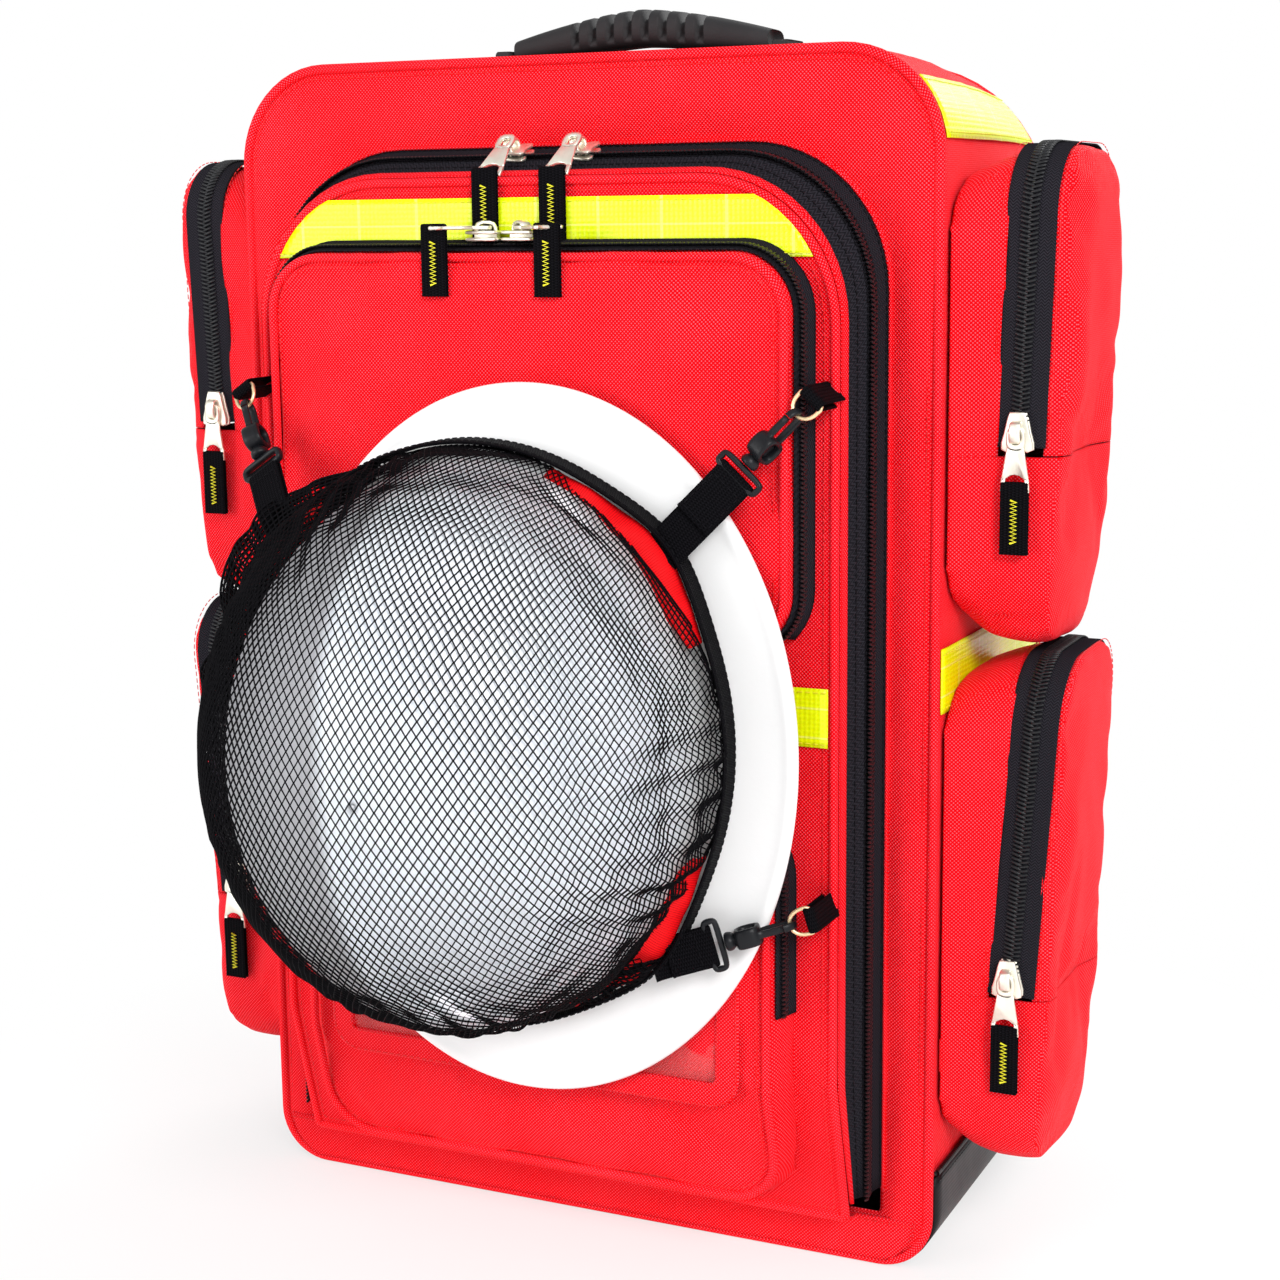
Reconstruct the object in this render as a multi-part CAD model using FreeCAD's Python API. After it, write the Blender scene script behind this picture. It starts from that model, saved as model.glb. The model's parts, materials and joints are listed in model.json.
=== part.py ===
"""Emergency backpack with a front lid, four side pockets and a helmet net, in millimetres.

X runs to the right of the pack, Y from its front to the wearer's back and Z up.
The origin is the centre of the base on the ground.
"""
import FreeCAD, Part
import math
import os
from FreeCAD import Vector

# ---- Overall size -------------------------------------------------------------------------
PACK_W = 340.0
PACK_D = 160.0
PACK_H = 530.0
CORNER_R = 24.0         # lower corners of the body's outline
TOP_R_FRONT = 44.0      # upper corners at the front, growing evenly towards the back
TOP_R_BACK = 70.0
WALL = 4.0
PIPE = 4.0
PIPE_RISE = 2.0
TUB_T = 1.5
TUB_H = 46.0
RUN_GAP = 0.3           # running clearance between bodies
SEAT_GAP = 0.3          # clearance of a soft piece on what carries it
BITE = 1.0              # how far a block runs into what it joins or cuts
EDGE_MARGIN = 0.01      # tolerance when edges are picked by where they lie
GUSSET_SEAM_Z = 60.0    # height of the seams between the gusset and its foot

# ---- Front lid ----------------------------------------------------------------------------
LID_HALF = 146.0        # half width of the zip gusset where it leaves the front panel
LID_TAPER = 9.0         # how far each side leans in by the lid's front
LID_TOP = 492.0
LID_TOP_DROP = 14.0
LID_R = 61.0
LID_DEPTH = 37.0
LID_RIM_DEPTH = 23.0    # depth of the gusset half that opens with the lid
LID_SPLIT = 0.6         # gap between the two zip halves
LID_SKIN = 2.0
LID_FACE = 3.0
HINGE_OUT = 4.5         # distance of the hinge line in front of the front panel
HINGE_Z = 27.0
SILL_DROP = 2.0         # how far the fabric strip's top lies below the hinge line
SILL_T = 3.0
LID_RISE = 0.5          # how far the lid's lower edge lies above the hinge line
FOOT_SLANT = 18.0       # how far the lid's face leans back at its lower edge
FOOT_SLANT_Z = 95.0     # height from which it leans back

# ---- Front pockets on the lid -------------------------------------------------------------
POCKET_FRONT_DEPTH = 18.0
UPPER_FRONT = {"half": 127.0, "z0": 280.0, "z1": 452.0, "zip_z": 288.0}
LOWER_FRONT = {"half": 119.0, "z0": 33.0, "z1": 216.0, "zip_z": 126.0}
FRONT_POCKET_TAPER = 6.0
FRONT_POCKET_R = 30.0
FRONT_TAPE_T = 0.8
FRONT_TAPE_W = 8.0
FRONT_TAPE_GAP = 0.15
WINDOW = {"half": 90.0, "z0": 97.0, "z1": 150.0, "t": 0.6}
BAND_H = 25.0
BAND_T = 0.5
UPPER_BAND_Z = 457.5
MIDDLE_BAND_Z = 256.0

# ---- Side pockets -------------------------------------------------------------------------
SIDE_POCKET_Y0 = -68.0
SIDE_POCKET_Y1 = 18.0
SIDE_POCKET_OUT = 55.0
SIDE_POCKET_R = 28.0
SIDE_POCKET_EDGE = 13.0
SIDE_SKIN = 2.5
SIDE_TAPE_FROM = 21.5   # distance of the zip tape from the pack's side
SIDE_ZIP_AT = 30.0      # distance of the zip chain from the pack's side
UPPER_SIDE = {"z0": 281.0, "zh": 362.0, "z1": 489.0}
LOWER_SIDE = {"z0": 47.0, "zh": 127.0, "z1": 276.0}
STRIP_T = 0.6
UPPER_STRIP_Z = 491.5
UPPER_STRIP_H = 26.0
MIDDLE_STRIP_Z = 277.5
MIDDLE_STRIP_H = 3.0

# ---- Zip sliders and pulls ----------------------------------------------------------------
SLIDER_L = 15.0
SLIDER_W = 11.0
SLIDER_T = 4.5
SLIDER_EDGE = 1.5
CROWN_L = 9.0
CROWN_W = 3.0
CROWN_H = 3.6
CROWN_WALL = 1.2
PULL_L = 26.0
PULL_T = 1.5
PULL_BAR_R = 0.8
PULL_FORK_W = 1.2
PULL_FORK_L = 11.0
PULL_W = 9.0
SLOT_L = 3.0
TAB_L = 32.0
TAB_W = 13.0
TAB_T = 3.0
TAB_OVERLAP = 4.0
MAIN_SLIDER_X = (-21.0, 11.0)
MAIN_PULL_DROP = 25.0   # degrees below level
MAIN_TAB_Z0 = 461.5
MAIN_TAB_CLEAR = 2.2
FRONT_SLIDER_X = (-18.0, -1.0)
FRONT_PULL_SWING = 34.0  # degrees towards the front, measured from the zip
FRONT_TAB_CLEAR = 2.9
LOWER_SLIDER_X = -40.0
SIDE_SLIDER_RISE = 10.5  # height of a closed side slider above the flap's fold

# ---- Helmet and its net -------------------------------------------------------------------
HELMET_X = 10.0
HELMET_Z = 241.0
HELMET_TILT = 4.6       # degrees about the vertical, left side forward
BRIM_HALF_X = 117.0
BRIM_HALF_Z = 152.0
BRIM_T = 2.4
BRIM_SEAT_GAP = 2.2     # room for the pocket's piping between brim and pocket
DOME_X = -5.0
DOME_Z = 246.0
DOME_HALF_X = 96.0
DOME_HALF_Z = 118.0
DOME_H = 135.0
DOME_POWER = 2.4
HELMET_SHELL = 3.0
NET_X = -9.0
NET_Z = 246.0
NET_HALF_X = 111.0
NET_HALF_Z = 124.0
NET_BASE = 15.0
NET_STAND = 7.0         # room between the top of the helmet and the net
NET_POWER = 2.2
NET_T = 1.2
RIM_W = 15.0
RIM_T = 2.0

# ---- Rings, hooks and straps that hold the net: right upper, right lower, left upper, left lower
RING_X = 134.5
RING_STAND = 22.5       # height of a ring's bar above the lid's face
CORNERS = (
    {"name": "upper_right", "side": 1, "z": 390.0, "rim_angle": 41.0, "turn": 18.0},
    {"name": "lower_right", "side": 1, "z": 176.0, "rim_angle": -45.0, "turn": 0.0},
    {"name": "upper_left", "side": -1, "z": 388.0, "rim_angle": 140.0, "turn": 18.0},
    {"name": "lower_left", "side": -1, "z": 156.0, "rim_angle": 237.0, "turn": 0.0},
)
RING_WIRE_R = 1.3
RING_PLAY = 1.2         # play of a hook on its ring
TAB_HALF = 6.2
TAB_THICK = 5.2
TAB_CHANNEL_GAP = 0.3
HOOK_FROM = 6.3
HOOK_L = 22.0
HOOK_HALF = 5.2
HOOK_BAR = 2.0
HOOK_T = 3.6
SWIVEL_L = 10.0
SWIVEL_R = 4.2
EYE_L = 8.0
EYE_HALF = 11.5
EYE_T = 3.4
EYE_BAR = 2.2
STRAP_W = 18.0
STRAP_T = 1.6
STRAP_FOLD = 9.0
GATE_FROM = 12.0
GATE_TO = 23.0
GATE_T = 1.4
GATE_W = 3.0

# ---- Back, harness, handle and inside -----------------------------------------------------
BACK_PAD_T = 16.0
BACK_PAD_EDGE = 6.0
BACK_PAD_HALF = 120.0
LUMBAR_HALF = 86.0
BACK_PAD_GAP = 18.0
BACK_PAD_Z = ((62.0, 158.0), (176.0, 440.0))
BACK_PAD_R = 22.0
STRAP_PAD_W = 64.0
STRAP_PAD_T = 12.0
STRAP_PAD_X = 66.0
STRAP_PAD_ROOT_DROP = 42.0
STRAP_PAD_OUT = 62.0
STRAP_PAD_MID_Z = 345.0
STRAP_PAD_END_Z = 190.0
STRAP_PAD_END_OUT = 40.0
WEB_W = 25.0
WEB_T = 1.8
WEB_FOOT_X = 140.0
WEB_FOOT_Z = 40.0
LOCK_H = 26.0
LOCK_W = 34.0
LOCK_T = 5.0
CHEST_Z = 330.0
CHEST_T = 1.8
BUCKLE_W = 44.0
BUCKLE_H = 30.0
BUCKLE_T = 9.0
BUCKLE_R = 2.0
HANDLE_L = 112.0
HANDLE_W = 24.0
HANDLE_T = 14.0
HANDLE_RISE = 25.0      # height of the grip above the pack
HANDLE_LEG = 9.0
HANDLE_FOOT_R = 4.3
HANDLE_PIN_RISE = 4.6
HANDLE_PIN_R = 2.4
HANDLE_PIN_L = 8.0
HANDLE_PIN_GAP = 0.25
ANCHOR_D = 26.0
ANCHOR_H = 8.4
SHELF_T = 3.0
SHELF_Z = (186.0, 352.0)
SHELF_FRONT = 12.0

# ---- Values worked out from those above -----------------------------------------------------
FRONT = -PACK_D / 2
BACK = PACK_D / 2
SIDE = PACK_W / 2 - TUB_T
FLOOR = TUB_T
LID_SILL = HINGE_Z - SILL_DROP
LID_BOTTOM = HINGE_Z + LID_RISE
HANDLE_TOP = PACK_H + HANDLE_RISE
HANDLE_PIN_Z = PACK_H + HANDLE_PIN_RISE
STRAP_PAD_ROOT_Z = PACK_H - STRAP_PAD_ROOT_DROP
NET_APEX = DOME_H + NET_STAND
LID_FRONT = FRONT - LID_DEPTH
LID_SPLIT_Y = LID_FRONT + LID_RIM_DEPTH
POCKET_FACE = LID_FRONT - POCKET_FRONT_DEPTH
SIDE_OUT = SIDE + SIDE_POCKET_OUT
SIDE_ZIP = SIDE + SIDE_ZIP_AT
POCKET_ZIP_Y = (LID_FRONT + POCKET_FACE) / 2
CROWN_AXIS = SLIDER_T + (CROWN_H - CROWN_WALL) / 2
BRIM_Y = POCKET_FACE - BRIM_SEAT_GAP - BRIM_HALF_X * math.sin(math.radians(HELMET_TILT))
HOOK_END = HOOK_FROM + HOOK_L
SWIVEL_END = HOOK_END + SWIVEL_L
X_DIR = Vector(1, 0, 0)
UP = Vector(0, 0, 1)
OUT = Vector(0, -1, 0)


# ---- Small shape helpers ---------------------------------------------------------------------
def box(x0, x1, y0, y1, z0, z1):
    return Part.makeBox(x1 - x0, y1 - y0, z1 - z0, Vector(x0, y0, z0))


def rounded_wire(point, u0, u1, v0, v1, r_low, r_high):
    """Closed outline of a rectangle with round corners; point maps (u, v) into space."""
    k = 1 - math.sqrt(0.5)

    def line(a, b):
        return Part.LineSegment(point(*a), point(*b)).toShape()

    def arc(a, b, c):
        return Part.Arc(point(*a), point(*b), point(*c)).toShape()

    edges = [line((u0 + r_low, v0), (u1 - r_low, v0))]
    if r_low:
        edges.append(arc((u1 - r_low, v0), (u1 - k * r_low, v0 + k * r_low), (u1, v0 + r_low)))
    edges.append(line((u1, v0 + r_low), (u1, v1 - r_high)))
    if r_high:
        edges.append(arc((u1, v1 - r_high), (u1 - k * r_high, v1 - k * r_high), (u1 - r_high, v1)))
    edges.append(line((u1 - r_high, v1), (u0 + r_high, v1)))
    if r_high:
        edges.append(arc((u0 + r_high, v1), (u0 + k * r_high, v1 - k * r_high), (u0, v1 - r_high)))
    edges.append(line((u0, v1 - r_high), (u0, v0 + r_low)))
    if r_low:
        edges.append(arc((u0, v0 + r_low), (u0 + k * r_low, v0 + k * r_low), (u0 + r_low, v0)))
    return Part.Wire(edges)


def front_outline(y, half, z0, z1, r_low, r_high):
    """Round-cornered outline in the plane Y = y."""
    return rounded_wire(lambda u, v: Vector(u, y, v), -half, half, z0, z1, r_low, r_high)


def front_slab(y0, y1, half, z0, z1, r_low, r_high):
    face = Part.Face(front_outline(y0, half, z0, z1, r_low, r_high))
    return face.extrude(Vector(0, y1 - y0, 0))


def side_slab(x0, x1, y0, y1, z0, z1, r_low, r_high):
    """Round-cornered block whose outline lies in the plane X = x0."""
    wire = rounded_wire(lambda u, v: Vector(x0, u, v), y0, y1, z0, z1, r_low, r_high)
    return Part.Face(wire).extrude(Vector(x1 - x0, 0, 0))


def mirror_x(shape):
    return shape.mirror(Vector(0, 0, 0), Vector(1, 0, 0))


def placed(shape, origin, x_dir, y_dir):
    """A shape drawn about the origin, moved so that its x and y axes take these directions."""
    z_dir = x_dir.cross(y_dir)
    matrix = FreeCAD.Matrix(
        x_dir.x, y_dir.x, z_dir.x, origin.x,
        x_dir.y, y_dir.y, z_dir.y, origin.y,
        x_dir.z, y_dir.z, z_dir.z, origin.z,
        0, 0, 0, 1)
    moved = shape.copy()
    moved.Placement = FreeCAD.Placement(matrix).multiply(shape.Placement)
    return moved


def revolved(points, axis_point, axis_dir):
    """Solid of revolution of a closed outline given as edges."""
    face = Part.Face(Part.Wire(points))
    return face.revolve(axis_point, axis_dir, 360)


# ---- Pack body -------------------------------------------------------------------------------
def top_radius(y):
    return TOP_R_FRONT + (TOP_R_BACK - TOP_R_FRONT) * (y - FRONT) / PACK_D


def pack_outline(y0, y1, inset):
    wires = []
    for y in (y0, y1):
        half = SIDE - inset
        top = PACK_H - inset
        wires.append(front_outline(y, half, FLOOR + inset, top, CORNER_R - inset, top_radius(y) - inset))
    return Part.makeLoft(wires, True, True)


def lid_block(y0, y1, inset, bottom):
    """Tapered block inside the lid's arch-shaped gusset, between two depths."""
    wires = []
    for y in (y0, y1):
        t = (FRONT - y) / LID_DEPTH
        half = LID_HALF - LID_TAPER * t - inset
        top = LID_TOP - LID_TOP_DROP * t - inset
        wires.append(front_outline(y, half, bottom, top, 0, LID_R - inset))
    return Part.makeLoft(wires, True, True)


def front_border():
    panel = pack_outline(FRONT, FRONT + WALL, 0)
    opening = front_slab(FRONT - BITE, FRONT + WALL + BITE, LID_HALF, LID_SILL, LID_TOP, 0, LID_R)
    half = LID_HALF - LID_TAPER
    sill = box(-half, half, FRONT - HINGE_OUT, FRONT, LID_SILL - SILL_T, LID_SILL)
    return panel.cut(opening).fuse(sill)


def gusset_parts(z0, z1, corner):
    """Cloth ring between front and back from one height to another: its middle and its two sides."""
    outer = pack_outline(FRONT + WALL, BACK - WALL, 0)
    ring = outer.cut(pack_outline(FRONT + WALL, BACK - WALL, WALL))
    seam = SIDE - corner
    parts = []
    for x0, x1 in ((-PACK_W, -seam), (-seam, seam), (seam, PACK_W)):
        parts.append(ring.common(box(x0, x1, FRONT, BACK, z0, z1)))
    return parts


def main_gusset():
    """Top and sides of the pack, seamed where the round corners end on the top."""
    return gusset_parts(GUSSET_SEAM_Z, PACK_H + BITE, TOP_R_BACK)


def base_gusset():
    """The floor and the foot's two round corners, sewn to the sides."""
    return gusset_parts(-BITE, GUSSET_SEAM_Z, CORNER_R)


def back_panel():
    return pack_outline(BACK - WALL, BACK, 0)


def base_tub():
    r = CORNER_R + TUB_T
    outer = front_slab(FRONT + WALL, BACK, PACK_W / 2, 0, PACK_H, r, r)
    tub = outer.cut(pack_outline(FRONT + WALL, BACK, 0))
    return tub.common(box(-PACK_W, PACK_W, FRONT, BACK, -BITE, TUB_H))


def piping():
    rings = []
    for y0, y1 in ((FRONT - PIPE_RISE, FRONT), (BACK, BACK + PIPE_RISE)):
        rings.append(pack_outline(y0, y1, 0).cut(pack_outline(y0, y1, PIPE)))
    return rings


def main_zip_tape():
    """The half of the lid's arch-shaped zip that stays on the pack."""
    arch = lid_block(FRONT, LID_SPLIT_Y, 0, LID_SILL)
    return arch.cut(lid_block(FRONT, LID_SPLIT_Y, LID_SKIN, LID_SILL - BITE))


def side_zip_tapes():
    """The halves of the side pockets' zips that stay on the pack."""
    tapes = []
    for pocket in (UPPER_SIDE, LOWER_SIDE):
        tape = side_ring(SIDE + SIDE_TAPE_FROM, SIDE_ZIP - LID_SPLIT / 2, pocket)
        tape = tape.cut(box(SIDE, SIDE_OUT, -PACK_D, PACK_D, 0, pocket["zh"]))
        tapes += [tape, mirror_x(tape)]
    return tapes


def shelves():
    plates = []
    for z in SHELF_Z:
        half = SIDE - WALL - SEAT_GAP
        plates.append(box(-half, half, FRONT + SHELF_FRONT, BACK - WALL - SEAT_GAP, z, z + SHELF_T))
    return plates


def side_strips():
    """Reflective bands across each side, above and between the side pockets."""
    y0, y1 = FRONT + WALL, BACK - WALL
    band = pack_outline(y0, y1, -SEAT_GAP - STRIP_T).cut(pack_outline(y0, y1, -SEAT_GAP))
    strips = []
    for z, height in ((UPPER_STRIP_Z, UPPER_STRIP_H), (MIDDLE_STRIP_Z, MIDDLE_STRIP_H)):
        strip = band.common(box(0, PACK_W, FRONT, BACK, z, z + height))
        strips += [strip, mirror_x(strip)]
    return strips


# ---- Side pockets ----------------------------------------------------------------------------
def side_block(x0, x1, pocket, inset):
    r = SIDE_POCKET_R - inset
    return side_slab(x0, x1, SIDE_POCKET_Y0 + inset, SIDE_POCKET_Y1 - inset,
                     pocket["z0"] + inset, pocket["z1"] - inset, r, r)


def side_ring(x0, x1, pocket):
    return side_block(x0, x1, pocket, 0).cut(side_block(x0, x1, pocket, SIDE_SKIN))


def side_shell(pocket):
    """The whole pocket as a bag wall, open towards the pack's side."""
    outer = side_block(SIDE, SIDE_OUT, pocket, 0)
    rim = [e for e in outer.Edges if min(v.X for v in e.Vertexes) > SIDE_OUT - EDGE_MARGIN]
    outer = outer.makeFillet(SIDE_POCKET_EDGE, rim)
    inner = side_block(SIDE, SIDE_OUT - SIDE_SKIN, pocket, SIDE_SKIN)
    rim = [e for e in inner.Edges if min(v.X for v in e.Vertexes) > SIDE_OUT - SIDE_SKIN - EDGE_MARGIN]
    inner = inner.makeFillet(SIDE_POCKET_EDGE - SIDE_SKIN, rim)
    return outer.cut(inner)


def side_pocket_base(pocket):
    shell = side_shell(pocket)
    pouch = shell.common(box(SIDE, SIDE_OUT, -PACK_D, PACK_D, 0, pocket["zh"]))
    gusset = shell.common(box(SIDE, SIDE + SIDE_TAPE_FROM, -PACK_D, PACK_D, pocket["zh"], PACK_H))
    return pouch.fuse(gusset).removeSplitter()


def side_pocket_flap(pocket):
    x0 = SIDE_ZIP + LID_SPLIT / 2
    z0 = pocket["zh"] + LID_SPLIT
    return side_shell(pocket).common(box(x0, SIDE_OUT, -PACK_D, PACK_D, z0, PACK_H))


# ---- Zip sliders and pulls -------------------------------------------------------------------
# Drawn with the zip along x and its face up z; the pull runs out along +x from its bar.
def slider(turn):
    """Slider body with its crown turned by so many degrees to face the pull."""
    body = box(-SLIDER_L / 2, SLIDER_L / 2, -SLIDER_W / 2, SLIDER_W / 2, 0, SLIDER_T)
    body = body.makeFillet(SLIDER_EDGE, body.Edges)
    top = SLIDER_T + CROWN_H
    crown = box(-CROWN_L / 2, CROWN_L / 2, -CROWN_W / 2, CROWN_W / 2, SLIDER_T - CROWN_WALL, top)
    inner = CROWN_L / 2 - CROWN_WALL
    crown = crown.cut(box(-inner, inner, -CROWN_W, CROWN_W, SLIDER_T, top - CROWN_WALL))
    crown.rotate(Vector(0, 0, 0), UP, turn)
    return body.fuse(crown)


def pull_metal():
    """Forked metal pull whose cross bar runs through the slider's crown."""
    inner = CROWN_W / 2 + PULL_FORK_W / 3
    outer = inner + PULL_FORK_W
    metal = Part.makeCylinder(PULL_BAR_R, 2 * outer, Vector(0, -outer, 0), Vector(0, 1, 0))
    for side in (-1, 1):
        y0, y1 = sorted((side * inner, side * outer))
        metal = metal.fuse(box(0, PULL_FORK_L, y0, y1, -PULL_T / 2, PULL_T / 2))
    plate = box(PULL_FORK_L - 2 * BITE, PULL_L, -PULL_W / 2, PULL_W / 2, -PULL_T / 2, PULL_T / 2)
    slot_x = PULL_L - TAB_OVERLAP
    slot_half = PULL_W / 2 - CROWN_WALL
    slot = box(slot_x, slot_x + SLOT_L, -slot_half, slot_half, -PULL_T, PULL_T)
    return metal.fuse(plate.cut(slot))


def frame_dirs(x_dir, z_dir):
    """The x and y directions of a frame, from its x and z directions."""
    return x_dir, z_dir.cross(x_dir)


def lid_top_normal():
    return Vector(0, -LID_TOP_DROP, LID_DEPTH).normalize()


def main_slider_seat(x):
    """Point on the closed zip along the top of the lid."""
    t = (FRONT - LID_SPLIT_Y) / LID_DEPTH
    return Vector(x, LID_SPLIT_Y, LID_TOP - LID_TOP_DROP * t) + lid_top_normal() * RUN_GAP


def main_slider(x):
    return placed(slider(-90), main_slider_seat(x), *frame_dirs(X_DIR, lid_top_normal()))


def main_pull_axis(x):
    return main_slider_seat(x) + lid_top_normal() * CROWN_AXIS


def main_pull(x):
    drop = math.radians(MAIN_PULL_DROP)
    x_dir = Vector(0, -math.cos(drop), -math.sin(drop))
    metal = placed(pull_metal(), main_pull_axis(x), x_dir, Vector(1, 0, 0))
    end = main_pull_axis(x) + x_dir * PULL_L
    y1 = LID_FRONT - MAIN_TAB_CLEAR
    tab = box(x - TAB_W / 2, x + TAB_W / 2, y1 - TAB_T, y1, MAIN_TAB_Z0, end.z + TAB_OVERLAP)
    return [metal, tab.cut(metal)]


def front_slider_seat(x, pocket):
    drop = FRONT_POCKET_TAPER * (POCKET_FRONT_DEPTH - SLIDER_W) / 2 / POCKET_FRONT_DEPTH
    return Vector(x, POCKET_ZIP_Y, pocket["z1"] - drop + FRONT_TAPE_T + RUN_GAP)


def front_slider(x, pocket, side):
    """Slider on the top run of a front pocket; its crown faces the pull's side."""
    turn = -FRONT_PULL_SWING if side > 0 else 180 + FRONT_PULL_SWING
    return placed(slider(turn), front_slider_seat(x, pocket), X_DIR, Vector(0, 1, 0))


def front_pull_dir(side):
    swing = math.radians(FRONT_PULL_SWING)
    return Vector(side * math.cos(swing), -math.sin(swing), 0)


def front_pull(x, pocket, side):
    axis = front_slider_seat(x, pocket) + UP * CROWN_AXIS
    x_dir = front_pull_dir(side)
    metal = placed(pull_metal(), axis, *frame_dirs(x_dir, UP))
    end = axis + x_dir * (PULL_L - TAB_OVERLAP / 2)
    y1 = POCKET_FACE - FRONT_TAB_CLEAR
    top = end.z + PULL_T
    tab = box(end.x - TAB_W / 2, end.x + TAB_W / 2, y1 - TAB_T, y1, top - TAB_L, top)
    return [metal, tab.cut(metal)]


def lower_pocket_slider():
    """Slider of the lower front pocket, its pull lying along the zip behind the helmet."""
    seat = front_slider_seat(LOWER_SLIDER_X, LOWER_FRONT)
    metal = pull_metal()
    metal.translate(Vector(0, 0, CROWN_AXIS))
    tab = box(PULL_L - TAB_OVERLAP, PULL_L + TAB_L / 2, -POCKET_FRONT_DEPTH / 3, POCKET_FRONT_DEPTH / 3,
              CROWN_AXIS - TAB_T / 2, CROWN_AXIS + TAB_T / 2)
    pieces = [slider(0), metal, tab.cut(metal)]
    return [placed(piece, seat, X_DIR, Vector(0, 1, 0)) for piece in pieces]


def side_slider_seat(pocket):
    return Vector(SIDE_ZIP, SIDE_POCKET_Y0 - RUN_GAP, pocket["zh"] + SIDE_SLIDER_RISE)


def side_slider(pocket):
    return placed(slider(0), side_slider_seat(pocket), *frame_dirs(-UP, OUT))


def side_pull(pocket):
    axis = side_slider_seat(pocket) + OUT * CROWN_AXIS
    metal = placed(pull_metal(), axis, *frame_dirs(-UP, OUT))
    top = axis.z - PULL_L + TAB_OVERLAP
    tab = box(axis.x - TAB_W / 2, axis.x + TAB_W / 2,
              axis.y - TAB_T / 2, axis.y + TAB_T / 2, top - TAB_L, top)
    return [metal, tab.cut(metal)]


# ---- Lid -------------------------------------------------------------------------------------
def foot_wedge(front):
    """What the slanting foot takes off a block whose front lies at this depth."""
    reach = FOOT_SLANT * FOOT_SLANT_Z / (FOOT_SLANT_Z - LID_BOTTOM)
    corners = [(front, FOOT_SLANT_Z), (front + reach, 0), (front - PACK_D, 0), (front - PACK_D, FOOT_SLANT_Z)]
    wire = Part.makePolygon([Vector(-PACK_W, y, z) for y, z in corners + corners[:1]])
    return Part.Face(wire).extrude(Vector(2 * PACK_W, 0, 0))


def lid_body():
    return lid_block(LID_SPLIT_Y - LID_SPLIT, LID_FRONT, 0, LID_BOTTOM).cut(foot_wedge(LID_FRONT))


def lid_shell():
    """Tray of the lid: face, arch-shaped rim and the bottom flap that reaches its hinge."""
    y0 = LID_SPLIT_Y - LID_SPLIT
    outer = lid_body()
    inner = lid_block(y0, LID_FRONT + LID_FACE, LID_SKIN, LID_BOTTOM + LID_SKIN)
    inner = inner.cut(foot_wedge(LID_FRONT + LID_FACE))
    half = LID_HALF - LID_TAPER - LID_SKIN
    flap = box(-half, half, y0, FRONT - HINGE_OUT - RUN_GAP, LID_BOTTOM, LID_BOTTOM + LID_SKIN)
    return outer.cut(inner).fuse(flap).removeSplitter()


def front_pocket_block(pocket, grow):
    """Tapered body of a front pocket, grown sideways for the tape that lies on it."""
    wires = []
    for y, taper in ((LID_FRONT, 0), (POCKET_FACE, FRONT_POCKET_TAPER)):
        inset = taper - grow
        wires.append(front_outline(y, pocket["half"] - inset, pocket["z0"] + inset, pocket["z1"] - inset,
                                   FRONT_POCKET_R - inset, FRONT_POCKET_R - inset))
    return Part.makeLoft(wires, True, True)


def lower_front_pocket():
    """Body of the lower pocket, whose foot follows the lid's slanting foot."""
    z0, z1 = LOWER_FRONT["z0"], LOWER_FRONT["z1"]
    root = front_slab(LID_FRONT, LID_FRONT + FOOT_SLANT, LOWER_FRONT["half"], z0, z1,
                      FRONT_POCKET_R, FRONT_POCKET_R)
    block = front_pocket_block(LOWER_FRONT, 0).fuse(root)
    return block.cut(foot_wedge(POCKET_FACE)).cut(lid_body())


def front_pocket_zips():
    tapes = []
    for pocket in (UPPER_FRONT, LOWER_FRONT):
        ring = front_pocket_block(pocket, FRONT_TAPE_T).cut(front_pocket_block(pocket, FRONT_TAPE_GAP))
        reach = box(-PACK_W, PACK_W, LID_FRONT - FRONT_TAPE_W, LID_FRONT, pocket["zip_z"], PACK_H)
        tapes.append(ring.common(reach))
    return tapes


def document_window():
    y1 = POCKET_FACE
    return box(-WINDOW["half"], WINDOW["half"], y1 - WINDOW["t"], y1, WINDOW["z0"], WINDOW["z1"])


def lid_bands():
    face = lid_block(LID_FRONT, LID_FRONT - BAND_T, 0, LID_BOTTOM)
    bands = []
    for z in (UPPER_BAND_Z, MIDDLE_BAND_Z):
        slice_box = box(-PACK_W, PACK_W, LID_FRONT - BAND_T, LID_FRONT, z - BAND_H / 2, z + BAND_H / 2)
        band = face.common(slice_box)
        bands.append(band.cut(front_pocket_block(UPPER_FRONT, FRONT_TAPE_T + FRONT_TAPE_GAP)))
    return bands


# ---- Helmet and net --------------------------------------------------------------------------
def dome_outline(radius, height, power, base, count):
    """Points of a superellipse quadrant in the plane of the axis, from its base to its apex."""
    start = math.asin((base / height) ** (power / 2))
    points = []
    for i in range(count + 1):
        a = start + (math.pi / 2 - start) * i / count
        r = radius * math.cos(a) ** (2 / power) if i < count else 0.0
        points.append(Vector(r, -height * math.sin(a) ** (2 / power), 0))
    return points


def dome_solid(radius, height, power, base):
    """Solid dome about the y axis, its base at y = -base and its apex at y = -height."""
    points = dome_outline(radius, height, power, base, 12)
    curve = Part.BSplineCurve()
    curve.interpolate(points)
    foot = Vector(0, points[0].y, 0)
    edges = [
        curve.toShape(),
        Part.LineSegment(points[-1], foot).toShape(),
        Part.LineSegment(foot, points[0]).toShape(),
    ]
    return revolved(edges, Vector(0, 0, 0), Vector(0, 1, 0))


def stretched(shape, scale_x, scale_z):
    matrix = FreeCAD.Matrix()
    matrix.scale(scale_x, 1, scale_z)
    return shape.transformGeometry(matrix)


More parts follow.
